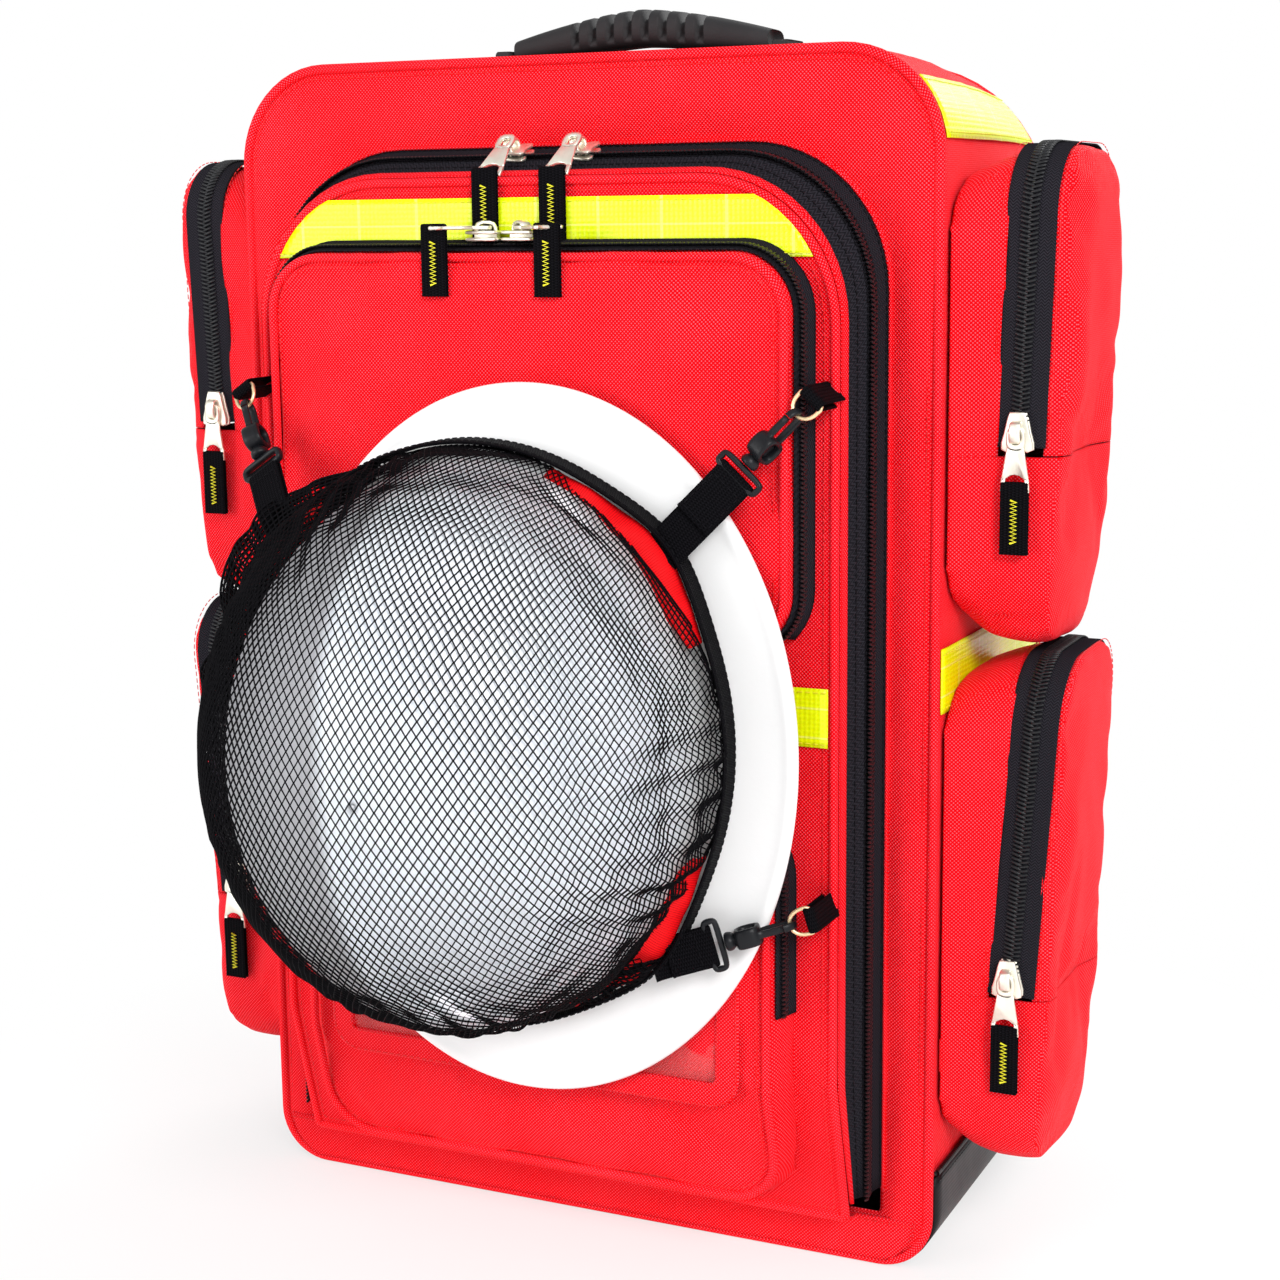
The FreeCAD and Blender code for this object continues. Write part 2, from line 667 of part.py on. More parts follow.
def in_helmet_frame(shape, x, z):
    """Seats a shape drawn about its own centre on the pocket, tilted as the helmet is."""
    moved = shape.copy()
    moved.translate(Vector(x, BRIM_Y, z))
    moved.rotate(Vector(HELMET_X, BRIM_Y, HELMET_Z), UP, HELMET_TILT)
    return moved


def helmet():
    brim = Part.makeCylinder(1, BRIM_T, Vector(0, -BRIM_T, 0), Vector(0, 1, 0))
    brim = stretched(brim, BRIM_HALF_X, BRIM_HALF_Z)
    brim.translate(Vector(HELMET_X - DOME_X, 0, HELMET_Z - DOME_Z))
    outer = stretched(dome_solid(1, DOME_H, DOME_POWER, 0), DOME_HALF_X, DOME_HALF_Z)
    inner = stretched(dome_solid(1, DOME_H - HELMET_SHELL, DOME_POWER, 0),
                      DOME_HALF_X - HELMET_SHELL, DOME_HALF_Z - HELMET_SHELL)
    return in_helmet_frame(brim.fuse(outer).cut(inner), DOME_X, DOME_Z)


def net_dome(inset):
    dome = dome_solid(1, NET_APEX - inset, NET_POWER, NET_BASE)
    return stretched(dome, NET_HALF_X - inset, NET_HALF_Z - inset)


def helmet_net():
    return in_helmet_frame(net_dome(0).cut(net_dome(NET_T)), NET_X, NET_Z)


def rim_block(gap, y0, depth):
    """Oval block as wide as the net's mouth and a gap all round."""
    disc = Part.makeCylinder(1, depth, Vector(0, y0, 0), Vector(0, 1, 0))
    return stretched(disc, NET_HALF_X + gap, NET_HALF_Z + gap)


def net_rim():
    y0 = -NET_BASE - RIM_W / 2
    band = rim_block(RUN_GAP + RIM_T, y0, RIM_W).cut(rim_block(RUN_GAP, y0, RIM_W))
    return in_helmet_frame(band, NET_X, NET_Z)


def rim_point(corner):
    """Point on the rim that this corner's strap pulls on."""
    a = math.radians(corner["rim_angle"])
    gap = RUN_GAP + RIM_T
    x = (NET_HALF_X + gap) * math.cos(a)
    z = (NET_HALF_Z + gap) * math.sin(a)
    return in_helmet_frame(Part.Vertex(x, -NET_BASE - RIM_W / 3, z), NET_X, NET_Z).Point


def corner_frame(corner):
    """Bar centre of a corner's ring, the pull direction, and the bar's direction."""
    bar = Vector(corner["side"] * RING_X, LID_FRONT - RING_STAND, corner["z"])
    pull_dir = (rim_point(corner) - bar).normalize()
    return bar, pull_dir, OUT.cross(pull_dir).normalize()


def ring_tab(corner):
    """Webbing loop that stands off the lid and holds the ring's bar."""
    bar, _, bar_dir = corner_frame(corner)
    reach = RING_STAND + TAB_THICK / 2
    loop = box(0, reach, -TAB_HALF, TAB_HALF, -TAB_THICK / 2, TAB_THICK / 2)
    r = RING_WIRE_R + TAB_CHANNEL_GAP
    channel = Part.makeCylinder(r, 4 * TAB_HALF, Vector(RING_STAND, -2 * TAB_HALF, 0), Vector(0, 1, 0))
    foot = Vector(bar.x, LID_FRONT, bar.z)
    return placed(loop.cut(channel), foot, OUT, bar_dir)


def d_ring(corner):
    """Wire ring: a straight bar, two legs and a half circle."""
    h = TAB_HALF + RING_WIRE_R + TAB_CHANNEL_GAP
    ring = Part.makeCylinder(RING_WIRE_R, 2 * h, Vector(0, -h, 0), Vector(0, 1, 0))
    reach = HOOK_FROM + HOOK_BAR + RING_PLAY + RING_WIRE_R
    arc = Part.Arc(Vector(0, -h, 0), Vector(reach, 0, 0), Vector(0, h, 0)).toShape()
    start = Part.Wire(Part.Circle(Vector(0, -h, 0), arc.tangentAt(arc.FirstParameter), RING_WIRE_R).toShape())
    bow = Part.Wire(arc).makePipeShell([start], True, False)
    ring = ring.fuse(bow)
    for y in (-h, h):
        ring = ring.fuse(Part.makeSphere(RING_WIRE_R, Vector(0, y, 0)))
    bar, pull_dir, bar_dir = corner_frame(corner)
    return placed(ring, bar, pull_dir, bar_dir)


def hook_dirs(corner):
    """Directions of a hook: along its length and across its open eye."""
    _, pull_dir, bar_dir = corner_frame(corner)
    across = pull_dir.cross(bar_dir)
    turn = FreeCAD.Rotation(pull_dir, corner["turn"] * corner["side"])
    return pull_dir, turn.multVec(across)


def stadium(length, half, thickness, x0):
    """Flat round-ended block along x from x0."""
    block = box(x0 + half, x0 + length - half, -half, half, -thickness / 2, thickness / 2)
    for x in (x0 + half, x0 + length - half):
        block = block.fuse(Part.makeCylinder(half, thickness, Vector(x, 0, -thickness / 2)))
    return block.removeSplitter()


def hook(corner):
    """Oval snap hook with a gap for its gate and the swivel post behind it."""
    eye = stadium(HOOK_L, HOOK_HALF, HOOK_T, HOOK_FROM)
    window = stadium(HOOK_L - 2 * HOOK_BAR, HOOK_HALF - HOOK_BAR, 2 * HOOK_T, HOOK_FROM + HOOK_BAR)
    gap = box(GATE_FROM - RUN_GAP, GATE_TO + RUN_GAP, 0, 2 * HOOK_HALF, -HOOK_T, HOOK_T)
    post = Part.makeCylinder(SWIVEL_R, SWIVEL_L, Vector(HOOK_END - BITE, 0, 0), X_DIR)
    shape = eye.cut(window).cut(gap).fuse(post)
    return placed(shape, corner_frame(corner)[0], *hook_dirs(corner))


def gate(corner):
    y0 = HOOK_HALF - HOOK_BAR / 2 - GATE_T / 2
    bar = box(GATE_FROM, GATE_TO, y0, y0 + GATE_T, -GATE_W / 2, GATE_W / 2)
    return placed(bar, corner_frame(corner)[0], *hook_dirs(corner))


def net_strap(corner):
    """Plastic strap eye on the swivel and the webbing that runs on to the rim."""
    bar, pull_dir, bar_dir = corner_frame(corner)
    length = (rim_point(corner) - bar).Length
    x0 = SWIVEL_END - BITE + RUN_GAP
    x1 = x0 + EYE_L
    frame = box(x0, x1, -EYE_HALF, EYE_HALF, -EYE_T / 2, EYE_T / 2)
    slot = box(x0 + EYE_BAR, x1 - EYE_BAR, -STRAP_W / 2 - BITE, STRAP_W / 2 + BITE, -EYE_T, EYE_T)
    frame = frame.cut(slot)
    strap = box(x1, length, -STRAP_W / 2, STRAP_W / 2, -STRAP_T / 2, STRAP_T / 2)
    half = EYE_T / 2 + STRAP_T
    strap = strap.fuse(box(x1 - EYE_BAR - STRAP_T, x1 + STRAP_FOLD, -STRAP_W / 2, STRAP_W / 2, -half, half))
    frame, strap = (placed(piece, bar, pull_dir, bar_dir) for piece in (frame, strap.cut(frame)))
    depth = 4 * RIM_W
    inside = in_helmet_frame(rim_block(RIM_T + 2 * RUN_GAP, -depth, depth), NET_X, NET_Z)
    return [frame, strap.cut(inside)]


# ---- Harness and handle ----------------------------------------------------------------------
def back_pads():
    """Lumbar pad across the foot of the back and two spine pads above it."""
    low, high = BACK_PAD_Z
    blocks = [front_slab(BACK, BACK + BACK_PAD_T, LUMBAR_HALF, low[0], low[1], BACK_PAD_R, BACK_PAD_R)]
    width = BACK_PAD_HALF - BACK_PAD_GAP / 2
    spine = front_slab(BACK, BACK + BACK_PAD_T, width / 2, high[0], high[1], BACK_PAD_R, BACK_PAD_R)
    for side in (-1, 1):
        pad = spine.copy()
        pad.translate(Vector(side * (width + BACK_PAD_GAP) / 2, 0, 0))
        blocks.append(pad)
    return [block.makeFillet(BACK_PAD_EDGE, far_edges(block)) for block in blocks]


def far_edges(block):
    """Edges of a block's rear face."""
    y1 = block.BoundBox.YMax
    return [e for e in block.Edges if e.BoundBox.YMin > y1 - EDGE_MARGIN]


def strap_pad_arc(offset):
    """Side view of a shoulder strap, as an arc moved inward by an offset."""
    root = Vector(0, BACK, STRAP_PAD_ROOT_Z - offset)
    middle = Vector(0, BACK + STRAP_PAD_OUT - offset, STRAP_PAD_MID_Z)
    end = Vector(0, BACK + STRAP_PAD_END_OUT - offset, STRAP_PAD_END_Z)
    return root, middle, end


def shoulder_straps():
    outer = strap_pad_arc(0)
    inner = strap_pad_arc(STRAP_PAD_T)
    wire = Part.Wire([
        Part.Arc(*outer).toShape(),
        Part.LineSegment(outer[2], inner[2]).toShape(),
        Part.Arc(*reversed(inner)).toShape(),
        Part.LineSegment(inner[0], outer[0]).toShape(),
    ])
    pad = Part.Face(wire).extrude(Vector(STRAP_PAD_W, 0, 0))
    pads = []
    for side in (-1, 1):
        copy = pad.copy()
        copy.translate(Vector(side * STRAP_PAD_X - STRAP_PAD_W / 2, 0, 0))
        pads.append(copy)
    return pads


def ladder_lock():
    """Ladder lock below the right strap's end."""
    y = BACK + STRAP_PAD_END_OUT - STRAP_PAD_T / 2
    z1 = STRAP_PAD_END_Z - SEAT_GAP
    return box(STRAP_PAD_X - LOCK_W / 2, STRAP_PAD_X + LOCK_W / 2,
               y - LOCK_T / 2, y + LOCK_T / 2, z1 - LOCK_H, z1)


def lower_web():
    """Adjusting strap from the right ladder lock down to the foot of the back panel."""
    top = Vector(STRAP_PAD_X, BACK + STRAP_PAD_END_OUT - STRAP_PAD_T / 2, STRAP_PAD_END_Z - LOCK_H / 2)
    foot = Vector(WEB_FOOT_X, BACK + WEB_T, WEB_FOOT_Z)
    x_dir = (foot - top).normalize()
    side_dir = x_dir.cross(Vector(0, 1, 0)).normalize()
    web = box(0, (foot - top).Length, -WEB_W / 2, WEB_W / 2, -WEB_T / 2, WEB_T / 2)
    return placed(web, top, x_dir, side_dir).cut(ladder_lock())


def chest_level_y():
    """Depth of the shoulder straps' outermost line, which the chest strap crosses."""
    return Part.Arc(*strap_pad_arc(0)).toShape().BoundBox.YMax


def chest_strap():
    y0 = chest_level_y() + SEAT_GAP
    x0 = BUCKLE_W / 2 + SEAT_GAP
    return box(x0, STRAP_PAD_X + WEB_W / 2, y0, y0 + CHEST_T, CHEST_Z - WEB_W / 2, CHEST_Z + WEB_W / 2)


def chest_buckle():
    y = chest_level_y() + SEAT_GAP + CHEST_T / 2
    block = box(-BUCKLE_W / 2, BUCKLE_W / 2, y - BUCKLE_T / 2, y + BUCKLE_T / 2,
                CHEST_Z - BUCKLE_H / 2, CHEST_Z + BUCKLE_H / 2)
    return block.makeFillet(BUCKLE_R, block.Edges)


def strap_webbing():
    right = [lower_web(), chest_strap()]
    return right + [mirror_x(piece) for piece in right]


def strap_hardware():
    return [ladder_lock(), mirror_x(ladder_lock()), chest_buckle()]


def handle_grip():
    """Moulded grip with a leg and a hinge pin at each end."""
    half = HANDLE_L / 2
    grip = box(-half - HANDLE_LEG, half + HANDLE_LEG,
               -HANDLE_W / 2, HANDLE_W / 2, HANDLE_TOP - HANDLE_T, HANDLE_TOP)
    grip = grip.makeFillet(HANDLE_T / 3, grip.Edges)
    for side in (-1, 1):
        x0 = half if side > 0 else -half - HANDLE_LEG
        leg = box(x0, x0 + HANDLE_LEG, -HANDLE_FOOT_R, HANDLE_FOOT_R, HANDLE_PIN_Z, HANDLE_TOP - HANDLE_T / 2)
        foot = Part.makeCylinder(HANDLE_FOOT_R, HANDLE_LEG, Vector(x0, 0, HANDLE_PIN_Z), X_DIR)
        start = Vector(side * (half + HANDLE_LEG - BITE), 0, HANDLE_PIN_Z)
        pin = Part.makeCylinder(HANDLE_PIN_R, HANDLE_PIN_L + BITE, start, Vector(side, 0, 0))
        grip = grip.fuse(leg).fuse(foot).fuse(pin)
    return grip


def handle_anchors():
    x0 = HANDLE_L / 2 + HANDLE_LEG + 2 * RUN_GAP
    block = box(x0, x0 + HANDLE_PIN_L + RUN_GAP, -ANCHOR_D / 2, ANCHOR_D / 2, PACK_H, PACK_H + ANCHOR_H)
    start = Vector(x0 - BITE, 0, HANDLE_PIN_Z)
    bore = Part.makeCylinder(HANDLE_PIN_R + HANDLE_PIN_GAP, 2 * HANDLE_PIN_L, start, X_DIR)
    anchor = block.cut(bore)
    return [anchor, mirror_x(anchor)]


# ---- Nodes -----------------------------------------------------------------------------------
def pack_nodes():
    return {
        "front_border": front_border(),
        "main_gusset": main_gusset(),
        "base_gusset": base_gusset(),
        "back_panel": back_panel(),
        "base_tub": base_tub(),
        "piping": piping(),
        "main_zip_tape": main_zip_tape(),
        "side_zip_tapes": side_zip_tapes(),
        "inner_shelves": shelves(),
        "side_strips": side_strips(),
        "back_pads": back_pads(),
        "shoulder_straps": shoulder_straps(),
        "strap_webbing": strap_webbing(),
        "strap_hardware": strap_hardware(),
        "handle_anchors": handle_anchors(),
        "handle_grip": handle_grip(),
    }


def side_nodes():
    nodes = {}
    for level, pocket in (("upper", UPPER_SIDE), ("lower", LOWER_SIDE)):
        pieces = {
            "side_pocket": [side_pocket_base(pocket)],
            "side_flap": [side_pocket_flap(pocket)],
            "side_slider": [side_slider(pocket)],
            "side_pull": side_pull(pocket),
        }
        for name, solids in pieces.items():
            nodes[f"{name}_{level}_right"] = solids
            nodes[f"{name}_{level}_left"] = [mirror_x(solid) for solid in solids]
    return nodes


def lid_nodes():
    straps = []
    for corner in CORNERS:
        straps += [ring_tab(corner)] + net_strap(corner)
    return {
        "lid_shell": lid_shell(),
        "lid_bands": lid_bands(),
        "front_pocket_upper": front_pocket_block(UPPER_FRONT, 0),
        "front_pocket_lower": lower_front_pocket(),
        "front_pocket_zips": front_pocket_zips(),
        "document_window": document_window(),
        "d_rings": [d_ring(corner) for corner in CORNERS],
        "net_straps": straps,
        "net_rim": net_rim(),
        "helmet_net": helmet_net(),
        "helmet": helmet(),
    }


def lid_moving_nodes():
    nodes = {"lower_pocket_slider": lower_pocket_slider()}
    for name, x in zip(("left", "right"), MAIN_SLIDER_X):
        nodes[f"main_slider_{name}"] = main_slider(x)
        nodes[f"main_pull_{name}"] = main_pull(x)
    for name, x, side in zip(("left", "right"), FRONT_SLIDER_X, (-1, 1)):
        nodes[f"front_slider_{name}"] = front_slider(x, UPPER_FRONT, side)
        nodes[f"front_pull_{name}"] = front_pull(x, UPPER_FRONT, side)
    for corner in CORNERS:
        nodes[f"hook_{corner['name']}"] = hook(corner)
        nodes[f"hook_gate_{corner['name']}"] = gate(corner)
    return nodes


def write(name, shape):
    if isinstance(shape, list):
        shape = Part.makeCompound(shape)
    shape.exportStep(os.path.join("parts", name + ".step"))


def main():
    os.makedirs("parts", exist_ok=True)
    for nodes in (pack_nodes(), side_nodes(), lid_nodes(), lid_moving_nodes()):
        for name, shape in nodes.items():
            write(name, shape)


if __name__ == "__main__":
    main()
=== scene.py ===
"""Looks of an emergency backpack: woven red shell, zips, reflective bands and a helmet in its net.

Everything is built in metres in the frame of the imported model: X to the right of the pack, Y from
its front to the wearer's back and Z up, with the origin at the centre of the base.
"""

import json
import math

import bmesh
import bpy
from mathutils import Matrix, Vector, noise


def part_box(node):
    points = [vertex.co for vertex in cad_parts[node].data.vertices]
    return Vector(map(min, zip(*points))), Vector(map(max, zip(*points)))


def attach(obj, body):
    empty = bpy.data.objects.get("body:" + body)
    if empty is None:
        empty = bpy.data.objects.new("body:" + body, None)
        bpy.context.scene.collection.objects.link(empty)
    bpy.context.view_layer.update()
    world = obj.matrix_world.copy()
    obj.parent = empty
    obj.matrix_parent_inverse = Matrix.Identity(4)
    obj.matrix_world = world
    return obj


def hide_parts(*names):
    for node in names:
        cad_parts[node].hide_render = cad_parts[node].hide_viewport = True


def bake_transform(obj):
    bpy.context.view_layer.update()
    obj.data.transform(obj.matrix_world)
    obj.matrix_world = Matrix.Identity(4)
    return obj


bl_info = {
    "name": "Emergency backpack",
    "version": (1, 0, 0),
    "blender": (4, 5, 0),
    "location": "View3D > Sidebar > Backpack",
    "description": "Builds the cloth, zips, net and harness of an emergency backpack around its frame",
    "category": "Add Mesh",
}

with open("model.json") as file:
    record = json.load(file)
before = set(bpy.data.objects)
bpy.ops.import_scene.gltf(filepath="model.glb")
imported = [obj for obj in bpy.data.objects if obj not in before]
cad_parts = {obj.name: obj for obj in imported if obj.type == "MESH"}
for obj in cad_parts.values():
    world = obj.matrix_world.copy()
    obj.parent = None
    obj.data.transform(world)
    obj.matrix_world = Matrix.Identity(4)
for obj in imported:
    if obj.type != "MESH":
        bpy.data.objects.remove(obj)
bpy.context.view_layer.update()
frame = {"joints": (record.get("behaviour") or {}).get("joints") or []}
JOINTS = {joint["name"]: joint for joint in frame["joints"]}

MM = 0.001
X = Vector((1, 0, 0))
Y = Vector((0, 1, 0))
UP = Vector((0, 0, 1))
OUT = -Y

# ---- Places taken from the frame ---------------------------------------------------------------
GUSSET_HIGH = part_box("main_gusset")[1]
SIDE = GUSSET_HIGH.x
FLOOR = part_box("base_gusset")[0].z
TOP = GUSSET_HIGH.z
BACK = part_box("back_panel")[1].y
FRONT = -BACK
LID_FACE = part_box("lid_shell")[0].y
POCKET_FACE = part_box("front_pocket_upper")[0].y
TUB_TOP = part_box("base_tub")[1].z
SIDE_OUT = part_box("side_flap_upper_right")[1].x

# ---- Sizes of the pack that its outlines need ---------------------------------------------------
CORNER_R = 24 * MM
TOP_R = (44 * MM, 70 * MM)
LID_HALF = 146 * MM
LID_TAPER = 9 * MM
LID_TOP = 492 * MM
LID_DROP = 14 * MM
LID_R = 61 * MM
LID_SILL = 25 * MM
LID_BOTTOM = 27.5 * MM
LID_DEPTH = FRONT - LID_FACE
ZIP_DEPTH = 14 * MM
ZIP_SPLIT = 0.3 * MM
FOOT_SLANT = 18 * MM
FOOT_SLANT_Z = 95 * MM
POCKET_TAPER = 6 * MM
POCKET_R = 30 * MM
SIDE_R = 28 * MM
SIDE_EDGE = 13 * MM
SIDE_TAPE = (20.0 * MM, 41.0 * MM)
SIDE_ZIP = 30 * MM
SIDE_DRAW = 13 * MM
SIDE_FLARE = 9 * MM
SIDE_THIN = 13 * MM
FRONT_POCKETS = {
    "upper": {"half": 127 * MM, "low": 280 * MM, "high": 452 * MM, "zip_from": 288 * MM},
    "lower": {"half": 119 * MM, "low": 33 * MM, "high": 216 * MM, "zip_from": 126 * MM},
}
SIDE_POCKETS = {
    "upper": {"low": 281 * MM, "fold": 362 * MM, "high": 489 * MM, "lean": 4 * MM},
    "lower": {"low": 47 * MM, "fold": 127 * MM, "high": 276 * MM, "lean": 10 * MM},
}
SIDE_Y = (-68 * MM, 18 * MM)
SIDES = ((1, "right"), (-1, "left"))
CLOTH_FRAMES = 20
CORNERS = {
    "upper_right": {"side": 1, "height": 390 * MM, "rim_angle": 41.0},
    "lower_right": {"side": 1, "height": 176 * MM, "rim_angle": -45.0},
    "upper_left": {"side": -1, "height": 388 * MM, "rim_angle": 140.0},
    "lower_left": {"side": -1, "height": 156 * MM, "rim_angle": 237.0},
}


# ---- Sizes and colours a user may change --------------------------------------------------------
def length(name, description, default):
    return bpy.props.FloatProperty(
        name=name, description=description, default=default, min=0.0, subtype="DISTANCE", unit="LENGTH")


def colour(name, description, default):
    return bpy.props.FloatVectorProperty(
        name=name, description=description, default=default, size=3, min=0.0, max=1.0, subtype="COLOR")


class BagSizes(bpy.types.PropertyGroup):
    """Sizes of the cloth and its trimmings."""

    weave: length("Weave", "Distance between two rows of the woven dots", 0.82 * MM)
    piping: length("Piping", "Diameter of the cloth-covered cord along the seams", 4.4 * MM)
    stitch: length("Stitch", "Length of one stitch with the gap that follows it", 3.4 * MM)
    thread: length("Thread", "Diameter of the sewing thread", 0.5 * MM)
    tooth: length("Zip tooth", "Distance between two turns of a zip coil", 1.9 * MM)
    chain: length("Zip chain", "Width of a closed zip coil", 8.0 * MM)
    tape: length("Zip tape", "Thickness of the zip tape", 0.8 * MM)
    band: length("Reflective band", "Height of the reflective bands", 25 * MM)
    mesh_cell: length("Net cell", "Length of one diamond of the net", 5.5 * MM)
    mesh_thread: length("Net thread", "Thickness of the net's thread", 0.84 * MM)
    pocket_puff: length("Pocket fullness", "How far the side pockets' cloth may swell", 4.5 * MM)
    voxel: length("Cloth grain", "Cell size of the cloth before it is swollen", 5.0 * MM)


class BagColours(bpy.types.PropertyGroup):
    """Colours of the cloth and its trimmings."""

    red: colour("Shell", "Woven cloth of the shell", (0.98, 0.001, 0.005))
    lime: colour("Reflective band", "Fluorescent reflective tape", (0.80, 0.95, 0.0))
    black: colour("Black trim", "Zip tape, webbing and net", (0.0032, 0.003, 0.0038))
    lining: colour("Lining", "Lining and inner shelves", (0.22, 0.23, 0.25))
    white: colour("Helmet", "Shell of the helmet", (0.83, 0.83, 0.83))
    nickel: colour("Zip metal", "Sliders and pulls", (0.96, 0.90, 0.78))
    gold: colour("Ring metal", "Wire rings that the hooks hold", (0.90, 0.70, 0.42))
    stitch: colour("Tab stitching", "Thread of the zigzag on the pull tabs", (0.85, 0.80, 0.02))


def sizes():
    return bpy.context.scene.bag_sizes


def colours():
    return bpy.context.scene.bag_colours


# ---- Shader expressions --------------------------------------------------------------------------
class Wire:
    """A value in a finish; arithmetic on it adds Math nodes."""

    def __init__(self, finish, socket):
        self.finish = finish
        self.socket = socket

    def math(self, operation, *values):
        return self.finish.node("ShaderNodeMath", {"operation": operation}, dict(enumerate(values)))

    def __add__(self, other):
        return self.math("ADD", self, other)

    def __sub__(self, other):
        return self.math("SUBTRACT", self, other)

    def __rsub__(self, other):
        return self.math("SUBTRACT", other, self)

    def __mul__(self, other):
        return self.math("MULTIPLY", self, other)

    def __truediv__(self, other):
        return self.math("DIVIDE", self, other)

    def __mod__(self, other):
        return self.math("FLOORED_MODULO", self, other)

    def __gt__(self, other):
        return self.math("GREATER_THAN", self, other)

    def __abs__(self):
        return self.math("ABSOLUTE", self)

    def sine(self):
        return self.math("SINE", self)

    def floor(self):
        return self.math("FLOOR", self)

    def clamp(self):
        return self.finish.node("ShaderNodeClamp", {}, {"Value": self})

    __radd__ = __add__
    __rmul__ = __mul__


class Finish:
    """One material: a Principled surface and the nodes that feed it."""

    def __init__(self, name, **constants):
        self.material = bpy.data.materials.new("finish_" + name)
        self.material.use_nodes = True
        self.tree = self.material.node_tree
        self.surface = self.tree.nodes["Principled BSDF"]
        for socket, value in constants.items():
            self.surface.inputs[socket.replace("_", " ")].default_value = value

    def node(self, kind, settings, values, output=0):
        made = self.tree.nodes.new(kind)
        for key, value in settings.items():
            setattr(made, key, value)
        for key, value in values.items():
            self.put(made.inputs[key], value)
        return Wire(self, made.outputs[output])

    def put(self, socket, value):
        if isinstance(value, Wire):
            self.tree.links.new(value.socket, socket)
        elif socket.type == "RGBA":
            socket.default_value = (*value[:3], 1)
        else:
            socket.default_value = value

    def feed(self, **inputs):
        for socket, value in inputs.items():
            self.put(self.surface.inputs[socket.replace("_", " ")], value)
        return self.material

    def mix(self, factor, first, second):
        return self.node("ShaderNodeMix", {"data_type": "RGBA"}, {0: factor, 6: first, 7: second}, 2)

    def grain(self, scale, detail=2.0, roughness=0.5):
        """Noise over the piece's own coordinates, from 0 to 1; scale is in cells per metre."""
        place = self.node("ShaderNodeTexCoord", {}, {}, "Object")
        return self.node("ShaderNodeTexNoise", {}, {
            "Vector": place, "Scale": scale, "Detail": detail, "Roughness": roughness})

    def bump(self, height, distance, strength=1.0):
        return self.node("ShaderNodeBump", {}, {"Height": height, "Distance": distance, "Strength": strength})

    def parts(self, vector):
        split = self.tree.nodes.new("ShaderNodeSeparateXYZ")
        self.put(split.inputs[0], vector)
        return [Wire(self, out) for out in split.outputs]

    def flat_uv(self):
        """Coordinates in metres on the plane that the surface faces most."""
        x, y, z = self.parts(self.node("ShaderNodeTexCoord", {}, {}, "Object"))
        nx, ny, nz = (abs(n) for n in self.parts(self.node("ShaderNodeTexCoord", {}, {}, "Normal")))
        facing_x = (nx > ny) * (nx > nz)
        facing_z = (nz > nx) * (nz > ny)
        return x + facing_x * (y - x), z + facing_z * (y - z)

    def run_uv(self):
        """Coordinates in metres across and along a strip."""
        across, along, _ = self.parts(self.node("ShaderNodeUVMap", {"uv_map": "run"}, {}))
        return across, along


def wave(value, pitch):
    """A sine of a coordinate, from -1 to 1."""
    return (value * (2 * math.pi / pitch)).sine()


def dot_highlight(base):
    """Painted highlight: the brighter, slightly pink colour on the raised dots of the weave."""
    return (min(1.0, base[0] * 1.08), base[1] + 0.115, base[2] + 0.155)


def shade(base, factor):
    return tuple(min(1.0, channel * factor) for channel in base)


# ---- Finishes --------------------------------------------------------------------------------------
def woven(name, ground, dot, pitch, relief, coordinates):
    """Coarse woven cloth with staggered raised dots on a darker ground; the dots' lighter colour is painted
    highlight and the ground's darker colour is painted shade.
    """
    finish = Finish(name, Specular_IOR_Level=0.03)
    u, v = finish.run_uv() if coordinates == "run" else finish.flat_uv()
    dots = wave(u, 2 * pitch) * wave(v, 2 * pitch)
    cloud = finish.grain(22, 3)
    fuzz = finish.grain(2600, 1)
    height = dots * 0.5 + fuzz * 0.35
    # Painted highlight on the raised dots, painted shade on the ground between them.
    tone = finish.mix((dots * 1.9 - 0.45 + (cloud - 0.5) * 0.7).clamp(), ground, dot)
    normal = finish.node("ShaderNodeBump", {}, {
        "Height": cloud, "Distance": 3.5 * MM, "Strength": 0.6, "Normal": finish.bump(height, relief)})
    return finish.feed(Base_Color=tone, Roughness=0.52 - dots * 0.1, Normal=normal)


def red_woven(name, relief, coordinates):
    red = colours().red
    # Ground: the red painted darker as shade; dots: the red with a painted highlight.
    return woven(name, shade(red, 0.9), dot_highlight(red), sizes().weave, relief, coordinates)


def red_cloth():
    return red_woven("red_cloth", 0.5 * MM, "flat")


def red_piping():
    return red_woven("red_piping", 0.25 * MM, "run")


def red_ribbon():
    finish = Finish("red_ribbon", Specular_IOR_Level=0.2)
    rib = wave(finish.run_uv()[1], 1.1 * MM)
    tone = finish.mix(rib * 0.5 + 0.5, shade(colours().red, 0.75), shade(colours().red, 1.1))
    return finish.feed(Base_Color=tone, Roughness=0.6 - rib * 0.1, Normal=finish.bump(rib, 0.15 * MM))


def zip_tape():
    finish = Finish("zip_tape", Specular_IOR_Level=0.0)
    across, along = finish.run_uv()
    ridge = wave(along + abs((across % (3 * MM)) - 1.5 * MM), 1.3 * MM)
    tone = finish.mix(ridge * 0.5 + 0.5, shade(colours().black, 3), shade(colours().black, 8.5))
    return finish.feed(Base_Color=tone, Roughness=0.72 - ridge * 0.08, Normal=finish.bump(ridge, 0.12 * MM))


def zip_coil():
    finish = Finish("zip_coil", Specular_IOR_Level=0.3)
    glint_fleck = finish.grain(900)
    # The lighter flecks are painted glints on the coil's turns.
    tone = finish.mix(glint_fleck, (0.002, 0.002, 0.003), (0.016, 0.017, 0.02))
    return finish.feed(Base_Color=tone, Roughness=0.3 + glint_fleck * 0.2)


